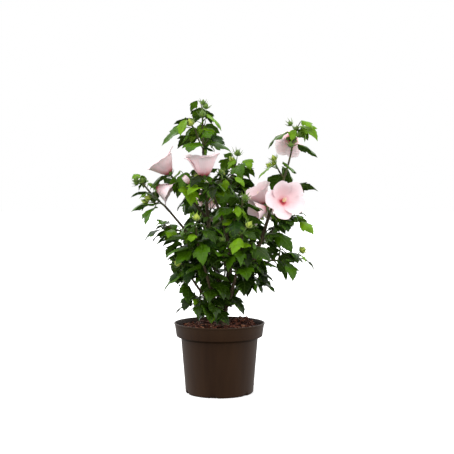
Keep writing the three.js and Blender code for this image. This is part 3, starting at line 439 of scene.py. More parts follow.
def potPart():
    # r and z follow the profile and a goes round; near the foot z is raised by the arch of each notch,
    # height sqrt(1 - (d / half width)^2), where d is the distance from its middle
    p = pot
    bandFoot = p["height"] - p["bandHeight"]
    shoulder = bandFoot - p["ledgeHeight"]
    foot = p["footRadius"]
    rim = p["rimRadius"]
    under = [(0, 0, 0), (foot - p["notchDepth"] - 2, 0, 0), (foot - p["notchDepth"], 0, 0)]
    slope = (p["shoulderRadius"] - foot) / (shoulder - p["footChamfer"])
    wall = [(foot + slope * (z - p["footChamfer"]), z, 0) for z in p["wallHeights"]]
    outer = [
        (foot - p["notchDepth"], 0, 0), (foot - p["footChamfer"], 0, 0.8), (foot, p["footChamfer"], 1), *wall,
        (p["shoulderRadius"], shoulder, 1.5), (p["bandFootRadius"], bandFoot, 1.3),
        (p["bandFootRadius"] + p["bandSwell"][0], bandFoot + p["bandSwell"][1], 0),
        (rim - p["lipInset"], p["height"] - p["lipHeights"][0], 0.6),
        (rim, p["height"] - p["lipHeights"][1], 1), (rim, p["height"], 1.1),
    ]
    inner = [
        (rim - p["lip"] - p["wall"], p["height"], 0.9), (p["bandFootRadius"] - p["wall"], bandFoot + 1, 1),
        (p["shoulderRadius"] - p["wall"], shoulder + 1, 1), (foot - p["wall"], p["floor"], 1),
        (0, p["floor"], 0),
    ]
    profile = roundedProfile([*under, *outer, *inner])
    bottomRows = len(under)
    outerRows = len(roundedProfile([*under, *outer, *inner[:1]])) - 1
    angle = turnsOf(p["segments"])
    step = 2 * np.pi / p["notches"]
    off = (angle - p["firstNotch"] * step + step / 2) % step - step / 2
    arch = p["notchHeight"] * np.sqrt(np.maximum(0, 1 - (foot * np.sin(off) / (p["notchWidth"] / 2)) ** 2))
    r, z = profile[:, :1], profile[:, 1:]
    row = np.arange(len(profile))[:, None]
    lift = np.where((row >= bottomRows) & (row < outerRows), np.clip(1 - z / p["notchReach"], 0, 1), 0)
    z = z + arch * lift
    points = np.stack([r * np.cos(angle), r * np.sin(angle), z + 0 * angle], -1).reshape(-1, 3)
    return roundPart(points, len(profile), p["segments"], 0, 1)


def mouldedPolypropylene(add, place):
    # polypropylene, injection moulded in taupe brown: a satin skin with broad soft highlights, faint
    # flow marks down the wall, lighter specks that grow towards the rim and a fine orange-peel
    flow = add("Mapping", {"Scale": (1 / 0.030, 1 / 0.030, 1 / 0.300), "Vector": place})
    marks = add("TexNoise", {"Scale": 1.0, "Detail": 3.0, "Roughness": 0.55, "Vector": flow})
    browns = [(0.3, linear("#25160b")), (0.7, linear("#2f1e10"))]
    shade = add("ValToRGB", {"stops": browns, "Fac": marks})
    height = add("SeparateXYZ", {0: place}).outputs["Z"]
    # the upper band is lightened in specks, more the nearer the rim
    towardsRim = add("MapRange", {
        "From Min": 0.128, "From Max": 0.150, "To Min": 0.0, "To Max": 0.35, "Value": height})
    specks = add("TexNoise", {"Scale": 1 / 0.006, "Detail": 6.0, "Roughness": 0.7, "Vector": place})
    rimSpecks = add("Math", {"operation": "MULTIPLY", 0: towardsRim, 1: specks})
    colour = add("Mix", {"data_type": "RGBA", 0: rimSpecks, 6: shade, 7: linear("#403222")})
    rough = add("MapRange", {"To Min": 0.36, "To Max": 0.52, "Value": specks})
    peel = add("TexNoise", {"Scale": 1 / 0.0012, "Detail": 2.0, "Vector": place})
    bump = add("Bump", {"Strength": 0.25, "Distance": 0.0001, "Height": peel})
    return add("BsdfPrincipled", {
        "IOR": 1.49, "Specular IOR Level": 0.1, "Base Color": colour.outputs[2], "Roughness": rough,
        "Normal": bump})


potFinish = newMaterial("mouldedPolypropylene", mouldedPolypropylene)
newPiece("potShell", [potPart()], [potFinish], ["pot"], crease=38)


# The compost: a lumpy bed under a loose layer of bark chips.
compost = {
    "level": 139, "edgeDrop": 5, "lumps": 2.2, "heap": (56, 42, 14, 24), "seat": (30, 46),
    "reach": 89.6, "rings": 44, "columns": 120, "grain": 1.1, "edge": (60, 88),
    "skirt": ((0, 96), (74, 96), (76.5, 114), (82, 120), (87, 131)),
}
chips = {
    "count": 1500, "length": (5, 19), "narrow": (0.28, 0.6), "thin": (0.1, 0.26), "reach": 87.5,
    "wallReach": 90.5, "trunkRoom": 13, "leastThickness": 1.0,
    "seed": 41, "tints": ("#5b2f20", "#7a4430", "#40231a", "#96664a", "#2f1a14"),
    "shares": (0.34, 0.26, 0.2, 0.08, 0.12),
}


def compostHeight(x, y):
    # a slow ripple of sines and one heap, level round the trunk and lower at the pot's wall
    c = compost
    free = smoothStep(np.hypot(x - trunk["start"][0], y - trunk["start"][1]), *c["seat"])
    edge = smoothStep(np.hypot(x, y), *c["edge"])
    lumps = np.sin(x * 0.21 + 1.3) * np.cos(y * 0.17) + 0.6 * np.sin(x * 0.11 - y * 0.24)
    heapX, heapY, heapHeight, heapWidth = c["heap"]
    away = ((x - heapX) ** 2 + (y - heapY) ** 2) / heapWidth ** 2
    heap = heapHeight * np.exp(-away) * (1 - 0.8 * edge)
    return c["level"] + free * (c["lumps"] * lumps + heap - c["edgeDrop"] * edge)


def compostPart():
    # a disc of rings on compostHeight with a fine grain of sines, closed by a skirt and a flat floor
    c = compost
    r = np.linspace(0, c["reach"], c["rings"])[::-1, None]
    angle = turnsOf(c["columns"])
    x, y = r * np.cos(angle), r * np.sin(angle)
    grain = np.sin(x * 1.1 + 2 * np.sin(y * 0.7)) * np.sin(y * 1.3 + 2 * np.sin(x * 0.6))
    grain = grain * smoothStep(r, 0, 8)
    top = np.stack([x, y, compostHeight(x, y) - 1.2 + c["grain"] * grain], -1)
    skirtReach, skirtHeight = np.array(c["skirt"]).T[..., None]
    skirt = np.stack([skirtReach * np.cos(angle), skirtReach * np.sin(angle), skirtHeight + 0 * angle], -1)
    points = np.concatenate([skirt, top]).reshape(-1, 3)
    return roundPart(points, c["rings"] + len(c["skirt"]), c["columns"], 0, 3)


def chipParts():
    # a chip is five rings of five points, thicker in the middle and jittered, scaled to its length,
    # width and thickness, turned any way round and laid nearly flat on the bed
    c = chips
    draw = np.random.default_rng(c["seed"])
    count = c["count"]
    reach = c["reach"] * np.sqrt(draw.uniform(0.012, 1, count))
    turn = draw.uniform(0, 2 * np.pi, count)
    x, y = reach * np.cos(turn), reach * np.sin(turn)
    length = mix(*c["length"], draw.beta(1.3, 3.2, count))
    width = length * draw.uniform(*c["narrow"], count)
    thick = np.maximum(c["leastThickness"], length * draw.uniform(*c["thin"], count))
    along = np.array([-1, -0.8, 0.05, 0.78, 1])
    girth = np.array([0, 0.8, 1, 0.75, 0])
    round5 = turnsOf(5)
    jitter = draw.uniform(0.7, 1.25, (count, 5, 5))
    shape = np.stack([along[None, :, None] + draw.uniform(-0.12, 0.12, (count, 5, 5)) * girth[:, None],
                      girth[:, None] * np.cos(round5) * jitter, girth[:, None] * np.sin(round5) * jitter], -1)
    shape = shape * (np.stack([length, width, thick], -1) / 2)[:, None, None]
    yaw, pitch, roll = (draw.uniform(-k, k, count)[:, None, None] for k in (np.pi, 0.5, 0.8))
    a, b, k = shape[..., 0], shape[..., 1], shape[..., 2]
    b, k = b * np.cos(roll) - k * np.sin(roll), b * np.sin(roll) + k * np.cos(roll)
    a, k = a * np.cos(pitch) - k * np.sin(pitch), a * np.sin(pitch) + k * np.cos(pitch)
    a, b = a * np.cos(yaw) - b * np.sin(yaw), a * np.sin(yaw) + b * np.cos(yaw)
    lift = compostHeight(x, y) - 0.6 + 0.45 * thick + draw.uniform(0, 1.6, count)
    points = np.stack([a + x[:, None, None], b + y[:, None, None], k + lift[:, None, None]], -1)
    inWall = np.hypot(points[..., 0], points[..., 1]).max(axis=(1, 2)) < c["wallReach"]
    offTrunk = np.hypot(x - trunk["start"][0], y) > c["trunkRoom"]
    tint = draw.choice(len(c["tints"]), count, p=c["shares"])
    keep = inWall & offTrunk
    return roundPart(points[keep].reshape(keep.sum(), 25, 3), 5, 5, tint[keep] + 1, 3, tint[keep] + 1)


def pineBark(name, hexCode, grainSize):
    # pine bark, chipped and composted: dry and dull, red-brown with a fibrous grain about 1 mm wide
    stops = [(0.34, shaded(hexCode, 0.45)), (0.66, linear(hexCode))]
    sheen = {"Roughness": 0.92, "Specular IOR Level": 0.25}
    return newMaterial(name, mottled, (grainSize, 6.0, 0.65), stops, None, (0.8, 0.0006), sheen)


barkFinishes = [pineBark("compostedFines", "#33190f", 0.004)]
barkFinishes += [pineBark(f"pineBarkChip{i + 1}", tint, 0.0025) for i, tint in enumerate(chips["tints"])]
newPiece("compostBed", [compostPart(), chipParts()], barkFinishes, ["compost"], crease=35)


# The trunk and boughs, with the relief of their bark.
bark = {
    "ringSpacing": 2.2, "sides": 24, "trunkSides": 56, "trunkRings": 48, "fissure": 0.05, "collar": 0.35,
    "scarGap": 17, "scarRise": 0.09,
}


def barkRelief(angle, along, seed):
    # ridges that wander round the limb as they climb it, in shares of its radius, with a raised leaf
    # scar every scarGap, each a golden turn on from the last
    wander = 0.9 * np.sin(along / 13 + seed) + 0.5 * np.sin(along / 5.3 + 2 * seed)
    ridges = (0.5 * np.sin(7 * angle + wander) + 0.35 * np.sin(11 * angle - 1.4 * wander + seed)
              + 0.25 * np.sin(4 * angle + along / 6))
    nearest = np.round(along / bark["scarGap"])
    off = along - nearest * bark["scarGap"]
    facing = np.cos(angle - np.radians(goldenTurn) * nearest - seed)
    scar = np.exp(-(off / 1.7) ** 2) * np.maximum(0, facing) ** 2
    return bark["fissure"] * ridges + bark["scarRise"] * scar


def trunkPart():
    # the radius tapers, and flares at the foot by flare e^(-7t) (1 + 0.35 cos(0.6 - 3a)), a being the
    # angle round it; the top is a low dome
    b = bark
    t = np.linspace(0, 1, b["trunkRings"])[:, None]
    angle = turnsOf(b["trunkSides"])
    taper = mix(*trunk["radii"], t)
    flare = trunk["flare"] * np.exp(-7 * t) * (1 + 0.35 * np.cos(0.6 - 3 * angle))
    along = t * (trunk["to"][2] - trunk["start"][2])
    radius = (taper + flare) * (1 + 0.8 * barkRelief(angle, along, 1.0))
    radius = radius * np.where(t > 0.85, np.sqrt(np.maximum(0, 1 - ((t - 0.85) / 0.17) ** 2)) * 0.4 + 0.6, 1)
    line = centreLine(trunk)
    centres = line(t[:, 0])
    closed = np.concatenate([np.zeros_like(radius[:1]), radius, np.zeros_like(radius[:1])])
    centres = np.concatenate([centres[:1], centres, centres[-1:]])
    level = np.broadcast_to([1.0, 0, 0], centres.shape), np.broadcast_to([0, 1.0, 0], centres.shape)
    return roundPart(ringSurface(centres, *level, closed), b["trunkRings"] + 2, b["trunkSides"], 0, 4)


def boughPart(limb, number):
    # a tapering tube with a collar where it leaves its parent, radius (1 + collar e^(-along / 7)), and
    # a dome at its end
    b = bark
    line = centreLine(limb)
    length = lengthOf(line)
    rings = int(length / b["ringSpacing"])
    t = np.linspace(0, 1, rings)
    ahead, u, v = lineFrame(line, t)
    angle = turnsOf(b["sides"])
    along = (t * length)[:, None]
    radius = mix(*limb["radii"], t)[:, None] * (1 + b["collar"] * np.exp(-along / 7))
    radius = radius * (1 + barkRelief(angle, along, 1.7 * number))
    dome = np.radians([30, 60, 90])[:, None]
    endCentres = line(1.0) + ahead[-1] * np.sin(dome) * limb["radii"][1]
    centres = np.concatenate([line(0.0)[None], line(t), endCentres])
    u, v = (np.concatenate([k[:1], k, np.repeat(k[-1:], 3, axis=0)]) for k in (u, v))
    radius = np.concatenate([0 * radius[:1], radius, radius[-1:] * np.cos(dome).round(6)])
    return roundPart(ringSurface(centres, u, v, radius), rings + 4, b["sides"], number, 4)


def youngHibiscusBark(add, place):
    # hibiscus bark, two to four years old: grey-brown, matt and finely ridged along the limb, with
    # pale lenticels and an olive cast on the upper wood
    drawn = add("Mapping", {"Scale": (1 / 0.0022, 1 / 0.0022, 1 / 0.014), "Vector": place})
    fibre = add("TexNoise", {"Scale": 1.0, "Detail": 5.0, "Roughness": 0.6, "Vector": drawn})
    shades = [(0.3, linear("#221a10")), (0.5, linear("#3f3222")), (0.72, linear("#5e5038"))]
    shade = add("ValToRGB", {"stops": shades, "Fac": fibre})
    height = add("SeparateXYZ", {0: place}).outputs["Z"]
    young = add("MapRange", {
        "From Min": 0.24, "From Max": 0.44, "To Min": 0.0, "To Max": 0.6, "Value": height})
    olive = add("Mix", {"data_type": "RGBA", 0: young, 6: shade, 7: linear("#33341a")})
    pores = add("TexVoronoi", {"Scale": 1 / 0.006, "Vector": place})
    spots = add("MapRange", {
        "From Min": 0.10, "From Max": 0.16, "To Min": 0.5, "To Max": 0.0, "Value": pores.outputs["Distance"]})
    colour = add("Mix", {"data_type": "RGBA", 0: spots, 6: olive.outputs[2], 7: linear("#78684a")})
    bump = add("Bump", {"Strength": 0.7, "Distance": 0.0005, "Height": fibre})
    return add("BsdfPrincipled", {
        "Roughness": 0.82, "Specular IOR Level": 0.3, "Base Color": colour.outputs[2], "Normal": bump})


limbParts = [trunkPart()] + [boughPart(limb, i + 1) for i, limb in enumerate(boughs.values())]
limbFinish = newMaterial("youngHibiscusBark", youngHibiscusBark)
newPiece("woodyStems", limbParts, [limbFinish], list(limbs), crease=60)


# How leaves are set, as in the part's source, and how the finer growth goes on from it.
leafRule = {
    "feelers": np.array([(0.14, 0), (0.34, 0.22), (0.34, -0.22), (0.46, 0), (0.55, 0.3), (0.55, -0.3),
                         (0.72, 0), (0.98, 0)]),
    "ownRoom": 7, "otherRoom": 8, "limbRoom": 4, "petalRoom": 9, "budRoom": 8, "potRoom": 30,
    "rimDrop": 4, "floorRoom": 5, "rootFeelers": 2, "stemStep": 6,
    "bloomTurns": np.arange(10) / 10 + 0.05, "bloomRings": (0.35, 0.7, 1.0), "bloomHearts": (0.8, 1.3),
    "sizes": (0.82, 1.18), "spread": (42, 66), "stalk": (0.2, 0.36), "last": 0.97, "jitter": 24,
    "pitch": (22, -28), "curl": (25, 85), "roll": (-38, 38), "fold": (-20, 12),
    "shifts": (0, 25, -25, 50, -50, 75, -75, 100, -100),
    "ways": {"twist": (-0.25, 0.25), "sway": (-0.08, 0.08), "ripple": (0.08, 0.22), "phase": (0, 6.28),
             "width": (0.92, 1.18), "lobes": (0, 1), "shade": (0, 1)},
}
budRule = {
    "step": 0.09, "firstTurn": 70, "spread": (12, 50), "stalk": (9, 17), "radius": (5.2, 7.2), "length": 2.5,
    "bloomShare": 0.75, "bloomRoom": 5,
}
# where the photo is open, only every second or third leaf has finer ones beside it, or hardly any
openMasses = ("left_tip", "base_crown", "base_front_crown", "fork_front_spur", "fork_left_spur",
              "left_foot_crown", "tall_low_spur", "centre_low_spur", "right_low_spur", "left_mid_spur",
              "left_low_spur", "right_foot_crown", "right_outer_spur", "right_low_crown", "front_left_crown")
fineRule = {
    "every": {"tall_crown": 3, "right_crown": 30, **dict.fromkeys(openMasses, 2)},
    "room": 0.5,  # share of the rooms above that the smaller leaves need
    "pitch": (-2, -52), "curl": (10, 60), "roll": (-40, 40), "fold": (-22, 14),
    "axilLeaves": 2, "axilSize": (0.38, 0.72), "axilTurn": (35, 85), "axilStalk": (0.12, 0.3),
    "axilSpread": (35, 75), "twigShare": 0.5, "twigTurn": (28, 54), "twigLift": (0, 0, 0.25),
    "twigLength": (14, 34), "twigSag": -0.04, "twigRadii": (1.3, 0.8), "twigLeaves": 3, "twigFrom": 0.45,
    "twigSize": (0.4, 0.75), "twigStalk": (0.15, 0.3), "twigSpread": (30, 65),
}


def bladePoints(leaf, x, y, lift=0.0):
    # the midrib is an arc that sets off at the pitch and turns down by the curl; across it the blade is
    # rolled and folded into a V, and ripples as sin(9x + phase); twist and sway bend it along its way
    x, y = np.asarray(x, float), np.asarray(y, float)
    curl = np.maximum(leaf["curl"], 0.01)
    angle = leaf["pitch"] - curl * x
    along = (np.sin(leaf["pitch"]) - np.sin(angle)) / curl
    rise = (np.cos(angle) - np.cos(leaf["pitch"])) / curl
    none = 0 * leaf["heading"]
    heading = np.stack([np.cos(leaf["heading"]), np.sin(leaf["heading"]), none], -1)
    side = np.stack([-np.sin(leaf["heading"]), np.cos(leaf["heading"]), none], -1)
    up = np.array([0, 0, 1.0])
    normal = -np.sin(angle)[..., None] * heading + np.cos(angle)[..., None] * up
    roll = (leaf["roll"] + leaf["twist"] * x)[..., None]
    across = np.cos(roll) * side + np.sin(roll) * normal
    out = np.cos(roll) * normal - np.sin(roll) * side
    ripple = leaf["ripple"] * np.abs(y) * np.sin(9 * x + leaf["phase"] + 2 * np.sign(y))
    sideways = y * np.cos(leaf["fold"]) + leaf["sway"] * x ** 2
    raised = np.abs(y) * np.sin(leaf["fold"]) + ripple
    size = leaf["length"][..., None]
    return (leaf["base"] + size * (along[..., None] * heading + rise[..., None] * up
            + sideways[..., None] * across + raised[..., None] * out) + np.asarray(lift)[..., None] * out)


taken = {"place": np.zeros((40000, 3)), "reach": np.zeros(40000), "owner": np.zeros(40000, int), "count": 0}
ownerOf = {name: i for i, name in enumerate(masses)}
ownerOf.update(limb=-1, bloom=-2, bud=-3)


def occupy(places, reach, owner):
    # a reach of 0 marks a leaf's own feeler
    start, end = taken["count"], taken["count"] + len(places)
    taken["place"][start:end] = places
    taken["reach"][start:end] = reach
    taken["owner"][start:end] = owner
    taken["count"] = end


def occupyStem(stem, owner):
    # keeps leaves off a stem by its radius and a little room
    line = centreLine(stem)
    t = np.linspace(0, 1, math.ceil(lengthOf(line) / leafRule["stemStep"]) + 1)
    occupy(line(t), mix(*stem["radii"], t) + leafRule["limbRoom"], owner)


def settle(leaf, share=1.0):
    # true where none of a leaf's feelers is too near the compost, the rim or what already grows; the
    # leaf then keeps its place
    rule, owner = leafRule, leaf["owner"]
    p = bladePoints(asArrays([leaf]), *rule["feelers"].T)[0]
    inPot = np.hypot(p[:, 0], p[:, 1]) < pot["rimRadius"] + rule["potRoom"]
    floor = np.maximum(compostHeight(p[:, 0], p[:, 1]), pot["height"] - rule["rimDrop"]) + rule["floorRoom"]
    if np.any(inPot & (p[:, 2] < floor)):
        return False
    n = taken["count"]
    own = taken["owner"][:n] == owner
    reach = taken["reach"][:n]
    reach = share * np.where(reach == 0, np.where(own, rule["ownRoom"], rule["otherRoom"]), reach)
    near = np.linalg.norm(p[:, None] - taken["place"][None, :n], axis=2) < reach
    near[:rule["rootFeelers"], own] = False
    if near.any():
        return False
    occupy(p, 0, owner)
    return True


def drawPosture(rule, draw):
    return {key: math.radians(mix(*rule[key], draw())) for key in ("pitch", "curl", "roll", "fold")}


def newLeaf(root, away, stalk, length, posture, owner, extra):
    leaf = dict(root=root, base=root + away * stalk, heading=math.atan2(away[1], away[0]), length=length,
                owner=owner, **posture)
    leaf.update({way: mix(*limits, extra()) for way, limits in leafRule["ways"].items()})
    return leaf


def asArrays(leaves):
    # a list of leaves as arrays with one row for each
    return {key: np.array([leaf[key] for leaf in leaves])[:, None] for key in leaves[0]}


def inside(bloom, along):
    # a point on a bloom's axis, at a share of its depth
    return bloom["calyx"] + bloom["faces"] * bloom["depth"] * along


def growBuds(name, mass):
    # buds stand on short stalks among the last leaves of each stem, and none inside a bloom
    rule = budRule
    draw = series(ownerOf[name] + seeds["buds"])
    stems = stemsOf(mass)
    grown = []
    for i in range(mass["buds"]):
        line = centreLine(stems[i % len(stems)])
        t = 1 - rule["step"] * (i // len(stems))
        ahead, u, v = lineFrame(line, t)
        angle = math.radians(mass["turn"] + rule["firstTurn"] + goldenTurn * i)
        spread = math.radians(mix(*rule["spread"], draw()))
        faces = unit(between(ahead, between(u, v, angle), spread))
        at = line(t) + faces * mix(*rule["stalk"], draw())
        radius = mix(*rule["radius"], draw())
        if any(np.linalg.norm(inside(bloom, 0.5) - at)
               < rule["bloomShare"] * bloom["radius"] + rule["bloomRoom"] for bloom in blooms):
            continue
        grown.append(dict(root=line(t), at=at, faces=faces, radius=radius, length=rule["length"] * radius))
    return grown


def growLeaves(name, mass):
    # alternate leaves round each stem, a golden turn apart; one with no room tries to either side
    rule, owner = leafRule, ownerOf[name]
    draw = series(owner + seeds["leaves"])
    extra = series(owner + seeds["ways"])
    turn = mass["turn"]
    grown = []
    for stem in stemsOf(mass):
        line = centreLine(stem)
        count = max(2, int(lengthOf(line) * (1 - stem["first"]) / mass["gap"]) + 1)
        for i in range(count):
            t = mix(stem["first"], rule["last"], i / (count - 1))
            if stem["bare"][0] < t < stem["bare"][1]:
                continue
            ahead, u, v = lineFrame(line, t)
            size = mix(*mass["leaf"], t) * mix(*rule["sizes"], draw())
            spread = math.radians(mix(*rule["spread"], draw()))
            stalk = size * mix(*rule["stalk"], draw())
            posture = drawPosture(rule, draw)
            jitter = rule["jitter"] * (draw() - 0.5)
            for shift in rule["shifts"]:
                angle = math.radians(turn + jitter + shift)
                away = between(ahead, between(u, v, angle), spread)
                leaf = newLeaf(line(t), away, stalk, size, posture, owner, extra)
                if settle(leaf):
                    leaf.update(frame=(ahead, u, v), angle=angle)
                    grown.append(leaf)
                    break
            turn += goldenTurn
    return grown


def growFine(leaf, draw):
    # two small leaves in a main leaf's axil, and on some a short twig with a few leaves of its own; each
    # grows only where it has room
    rule = fineRule
    ahead, u, v = leaf["frame"]
    grown, sprays = [], []

    def tryLeaf(root, along, angle, across, up, size, stalk, spread):
        away = between(along, between(across, up, angle), spread)
        made = newLeaf(root, away, stalk, size, drawPosture(rule, draw), leaf["owner"], draw)
        if settle(made, rule["room"]):
            grown.append(made)

    for k in range(rule["axilLeaves"]):
        angle = leaf["angle"] + (-1) ** k * math.radians(mix(*rule["axilTurn"], draw()))
        size = leaf["length"] * mix(*rule["axilSize"], draw())
        tryLeaf(leaf["root"], ahead, angle, u, v, size, size * mix(*rule["axilStalk"], draw()),
                math.radians(mix(*rule["axilSpread"], draw())))
    if draw() < rule["twigShare"]:
        spread = math.radians(mix(*rule["twigTurn"], draw()))
        along = unit(between(ahead, between(u, v, leaf["angle"]), spread) + rule["twigLift"])
        length = mix(*rule["twigLength"], draw())
        spray = dict(start=tuple(leaf["root"]), to=tuple(leaf["root"] + along * length),
                     bow=(0, 0, rule["twigSag"] * length), radii=rule["twigRadii"])
        before = len(grown)
        line = centreLine(spray)
        for k in range(rule["twigLeaves"]):
            t = mix(rule["twigFrom"], 1, k / (rule["twigLeaves"] - 1))
            size = leaf["length"] * mix(*rule["twigSize"], draw())
            ahead, u, v = lineFrame(line, t)
            tryLeaf(line(t), ahead, math.radians(goldenTurn) * k + 6.28 * draw(), u, v, size,
                    size * mix(*rule["twigStalk"], draw()), math.radians(mix(*rule["twigSpread"], draw())))
        if len(grown) > before:
            sprays.append(spray)
    return grown, sprays


def squareToFace(face):
    # two directions square to the way a flower faces
    side = np.array([1.0, 0, 0]) if abs(face[2]) > 0.9 else np.array([0, 0, 1.0])
    return squareTo(face, side)


def funnelPoint(bloom, turn, along):
    # radius R (0.1 + 0.82 s^0.72 + 0.9 f^2) and height depth (s - 1.1 f^2) at s along it, with f = s - 0.7
    # where that is above 0; turn goes once round the flower, from where the spin puts it
    face = bloom["faces"]
    u, v = squareToFace(face)
    flare = np.maximum(0, along - 0.7)
    radius = bloom["radius"] * (0.1 + 0.82 * np.maximum(along, 0) ** 0.72 + 0.9 * flare ** 2)
    height = bloom["depth"] * (along - 1.1 * flare ** 2)
    angle = 2 * np.pi * (turn + bloom.get("spin", 0))
    return radius, height, angle, face, u, v


def petalPoint(bloom, turn, along):
    # the place on that funnel
    radius, height, angle, face, u, v = funnelPoint(bloom, turn, along)
    return bloom["calyx"] + height[..., None] * face + around(u, v, angle, radius)


for limb in limbs.values():
    occupyStem(limb, ownerOf["limb"])
for name, mass in masses.items():
    for stem in stemsOf(mass):
        occupyStem(stem, ownerOf[name])
for bloom in blooms:
    turns, alongs = np.meshgrid(leafRule["bloomTurns"], leafRule["bloomRings"], indexing="ij")
    occupy(petalPoint(bloom, turns, alongs).reshape(-1, 3), leafRule["petalRoom"], ownerOf["bloom"])
    occupy([inside(bloom, share) for share in leafRule["bloomHearts"]], bloom["radius"] / 2, ownerOf["bloom"])
buds = {name: growBuds(name, mass) for name, mass in masses.items()}
for bud in sum(buds.values(), []):
    occupy([bud["at"] + bud["faces"] * bud["length"] / 2], leafRule["budRoom"], ownerOf["bud"])
mainLeaves = sum((growLeaves(name, mass) for name, mass in masses.items()), [])
fineLeaves, fineTwigs = [], []
every = {ownerOf[name]: number for name, number in fineRule["every"].items()}
for i, leaf in enumerate(mainLeaves):
    if i % every.get(leaf["owner"], 1):
        continue
    moreLeaves, moreTwigs = growFine(leaf, series(seeds["fine"] + i))
    fineLeaves += moreLeaves
    fineTwigs += moreTwigs
print(f"{len(mainLeaves)} main leaves, {len(fineLeaves)} finer ones on {len(fineTwigs)} twigs")


# The leaves: closed blades with three lobes, coarse teeth and a drawn-out tip.
blade = {
    "edge": ((0, 0), (0.07, 0.15), (0.20, 0.255), (0.25, 0.25), (0.38, 0.345), (0.45, 0.345), (0.58, 0.375),
             (0.55, 0.25), (0.66, 0.225), (0.70, 0.18), (0.82, 0.13), (0.86, 0.08), (1, 0)),
    "ribSlope": 0.55,  # how far back the midrib is met for each step inwards from the edge
    "dome": 0.035,  # how far the middle of each half rises, in blade lengths
    "halfThickness": 0.35, "lobeDip": 0.2, "lobeAt": 0.56, "lobeWidth": 0.08,
    "tints": ("#142502", "#223a02", "#3b5f04", "#60870a", "#1b340b"),
    "undersides": ("#3a5814", "#587c18"),
    "cells": 3, "tintLimits": (0.86, 1.12, 1.38), "blueGreenFrom": 0.9,
    # a leaf is the lighter the further out and the higher it stands (painted light and shade), and if small
    "crownMiddle": (0, 0, 360), "crownReach": (190, 150, 240), "outward": 0.45, "upward": 1 / 900,
    "byChance": 0.75, "small": 0.15, "smallBelow": 34,
}


def bladeParts(leaves):
    # each half has its edge at (x, y), a row halfway in that is raised by the dome, and the midrib at
    # x - slope |y|; the two faces are thickest at the midrib and join along the edge
    arrays = asArrays(leaves)
    edgeX, edgeY = np.array(blade["edge"]).T
    n = len(edgeX)
    ribX = np.clip(edgeX - blade["ribSlope"] * edgeY, 0, 1)
    dip = np.exp(-((edgeX - blade["lobeAt"]) / blade["lobeWidth"]) ** 2)
    lobed = 1 - blade["lobeDip"] * arrays["lobes"] * dip
    half = edgeY * arrays["width"] * lobed
    none = np.zeros_like(half)
    size = arrays["length"]

    def row(inwards, side, face):
        x = mix(edgeX, ribX, inwards) + none
        lift = face * blade["halfThickness"] * inwards + size * blade["dome"] * 4 * inwards * (1 - inwards)
        return bladePoints(arrays, x, side * half * (1 - inwards), lift * np.minimum(1, edgeY / 0.1) + none)

    rows = [row(0, 1, 0), row(0, -1, 0)]  # the two edges, then each half's middle row and midrib
    rows += [row(0.5, 1, 1), row(0.5, -1, 1), row(1, 1, 1), row(0.5, 1, -1), row(0.5, -1, -1), row(1, 1, -1)]
    points = np.concatenate(rows, axis=1)
    k = np.arange(n - 1)
    strips = []
    for outer, inner, turned in ((0, 2, 0), (2, 4, 0), (1, 3, 1), (3, 4, 1),
                                 (0, 5, 1), (5, 7, 1), (1, 6, 0), (6, 7, 0)):
        quads = np.stack([outer * n + k, outer * n + k + 1, inner * n + k + 1, inner * n + k], -1)
        strips.append(quads[:, ::-1] if turned else quads)
    faces = np.concatenate(strips)
    middleX = (edgeX + ribX) / 2
    flat = [(edgeX, 0.5 + edgeY), (edgeX, 0.5 - edgeY), (middleX, 0.5 + edgeY / 2),
            (middleX, 0.5 - edgeY / 2), (ribX, 0.5 + 0 * ribX)]
    flat = np.concatenate([np.stack(pair, -1) for pair in flat + flat[2:]])
    place = arrays["base"][:, 0]
    out = np.linalg.norm((place - blade["crownMiddle"]) / blade["crownReach"], axis=1)
    # painted light and shade: outer and higher leaves get lighter tints, inner and lower ones darker
    score = (blade["outward"] * out + blade["upward"] * place[:, 2]
             + blade["byChance"] * arrays["shade"][:, 0]
             + blade["small"] * (size[:, 0] < blade["smallBelow"]))
    tint = np.searchsorted(np.array(blade["tintLimits"]), score)
    tint = np.where(arrays["lobes"][:, 0] > blade["blueGreenFrom"], 4, tint)
    # the leaves in the lightest, most lit tint get the paler underside
    under = 5 + (tint == 3)
    upper = 4 * (n - 1)
    tints = np.concatenate([np.repeat(tint[:, None], upper, 1), np.repeat(under[:, None], upper, 1)], 1)
    uv = np.concatenate([inCell(flat[faces[:upper]], tint, blade["cells"]),
                         inCell(flat[faces[upper:]], under, blade["cells"])], axis=1)
    return part(points, faces, uv, tints)


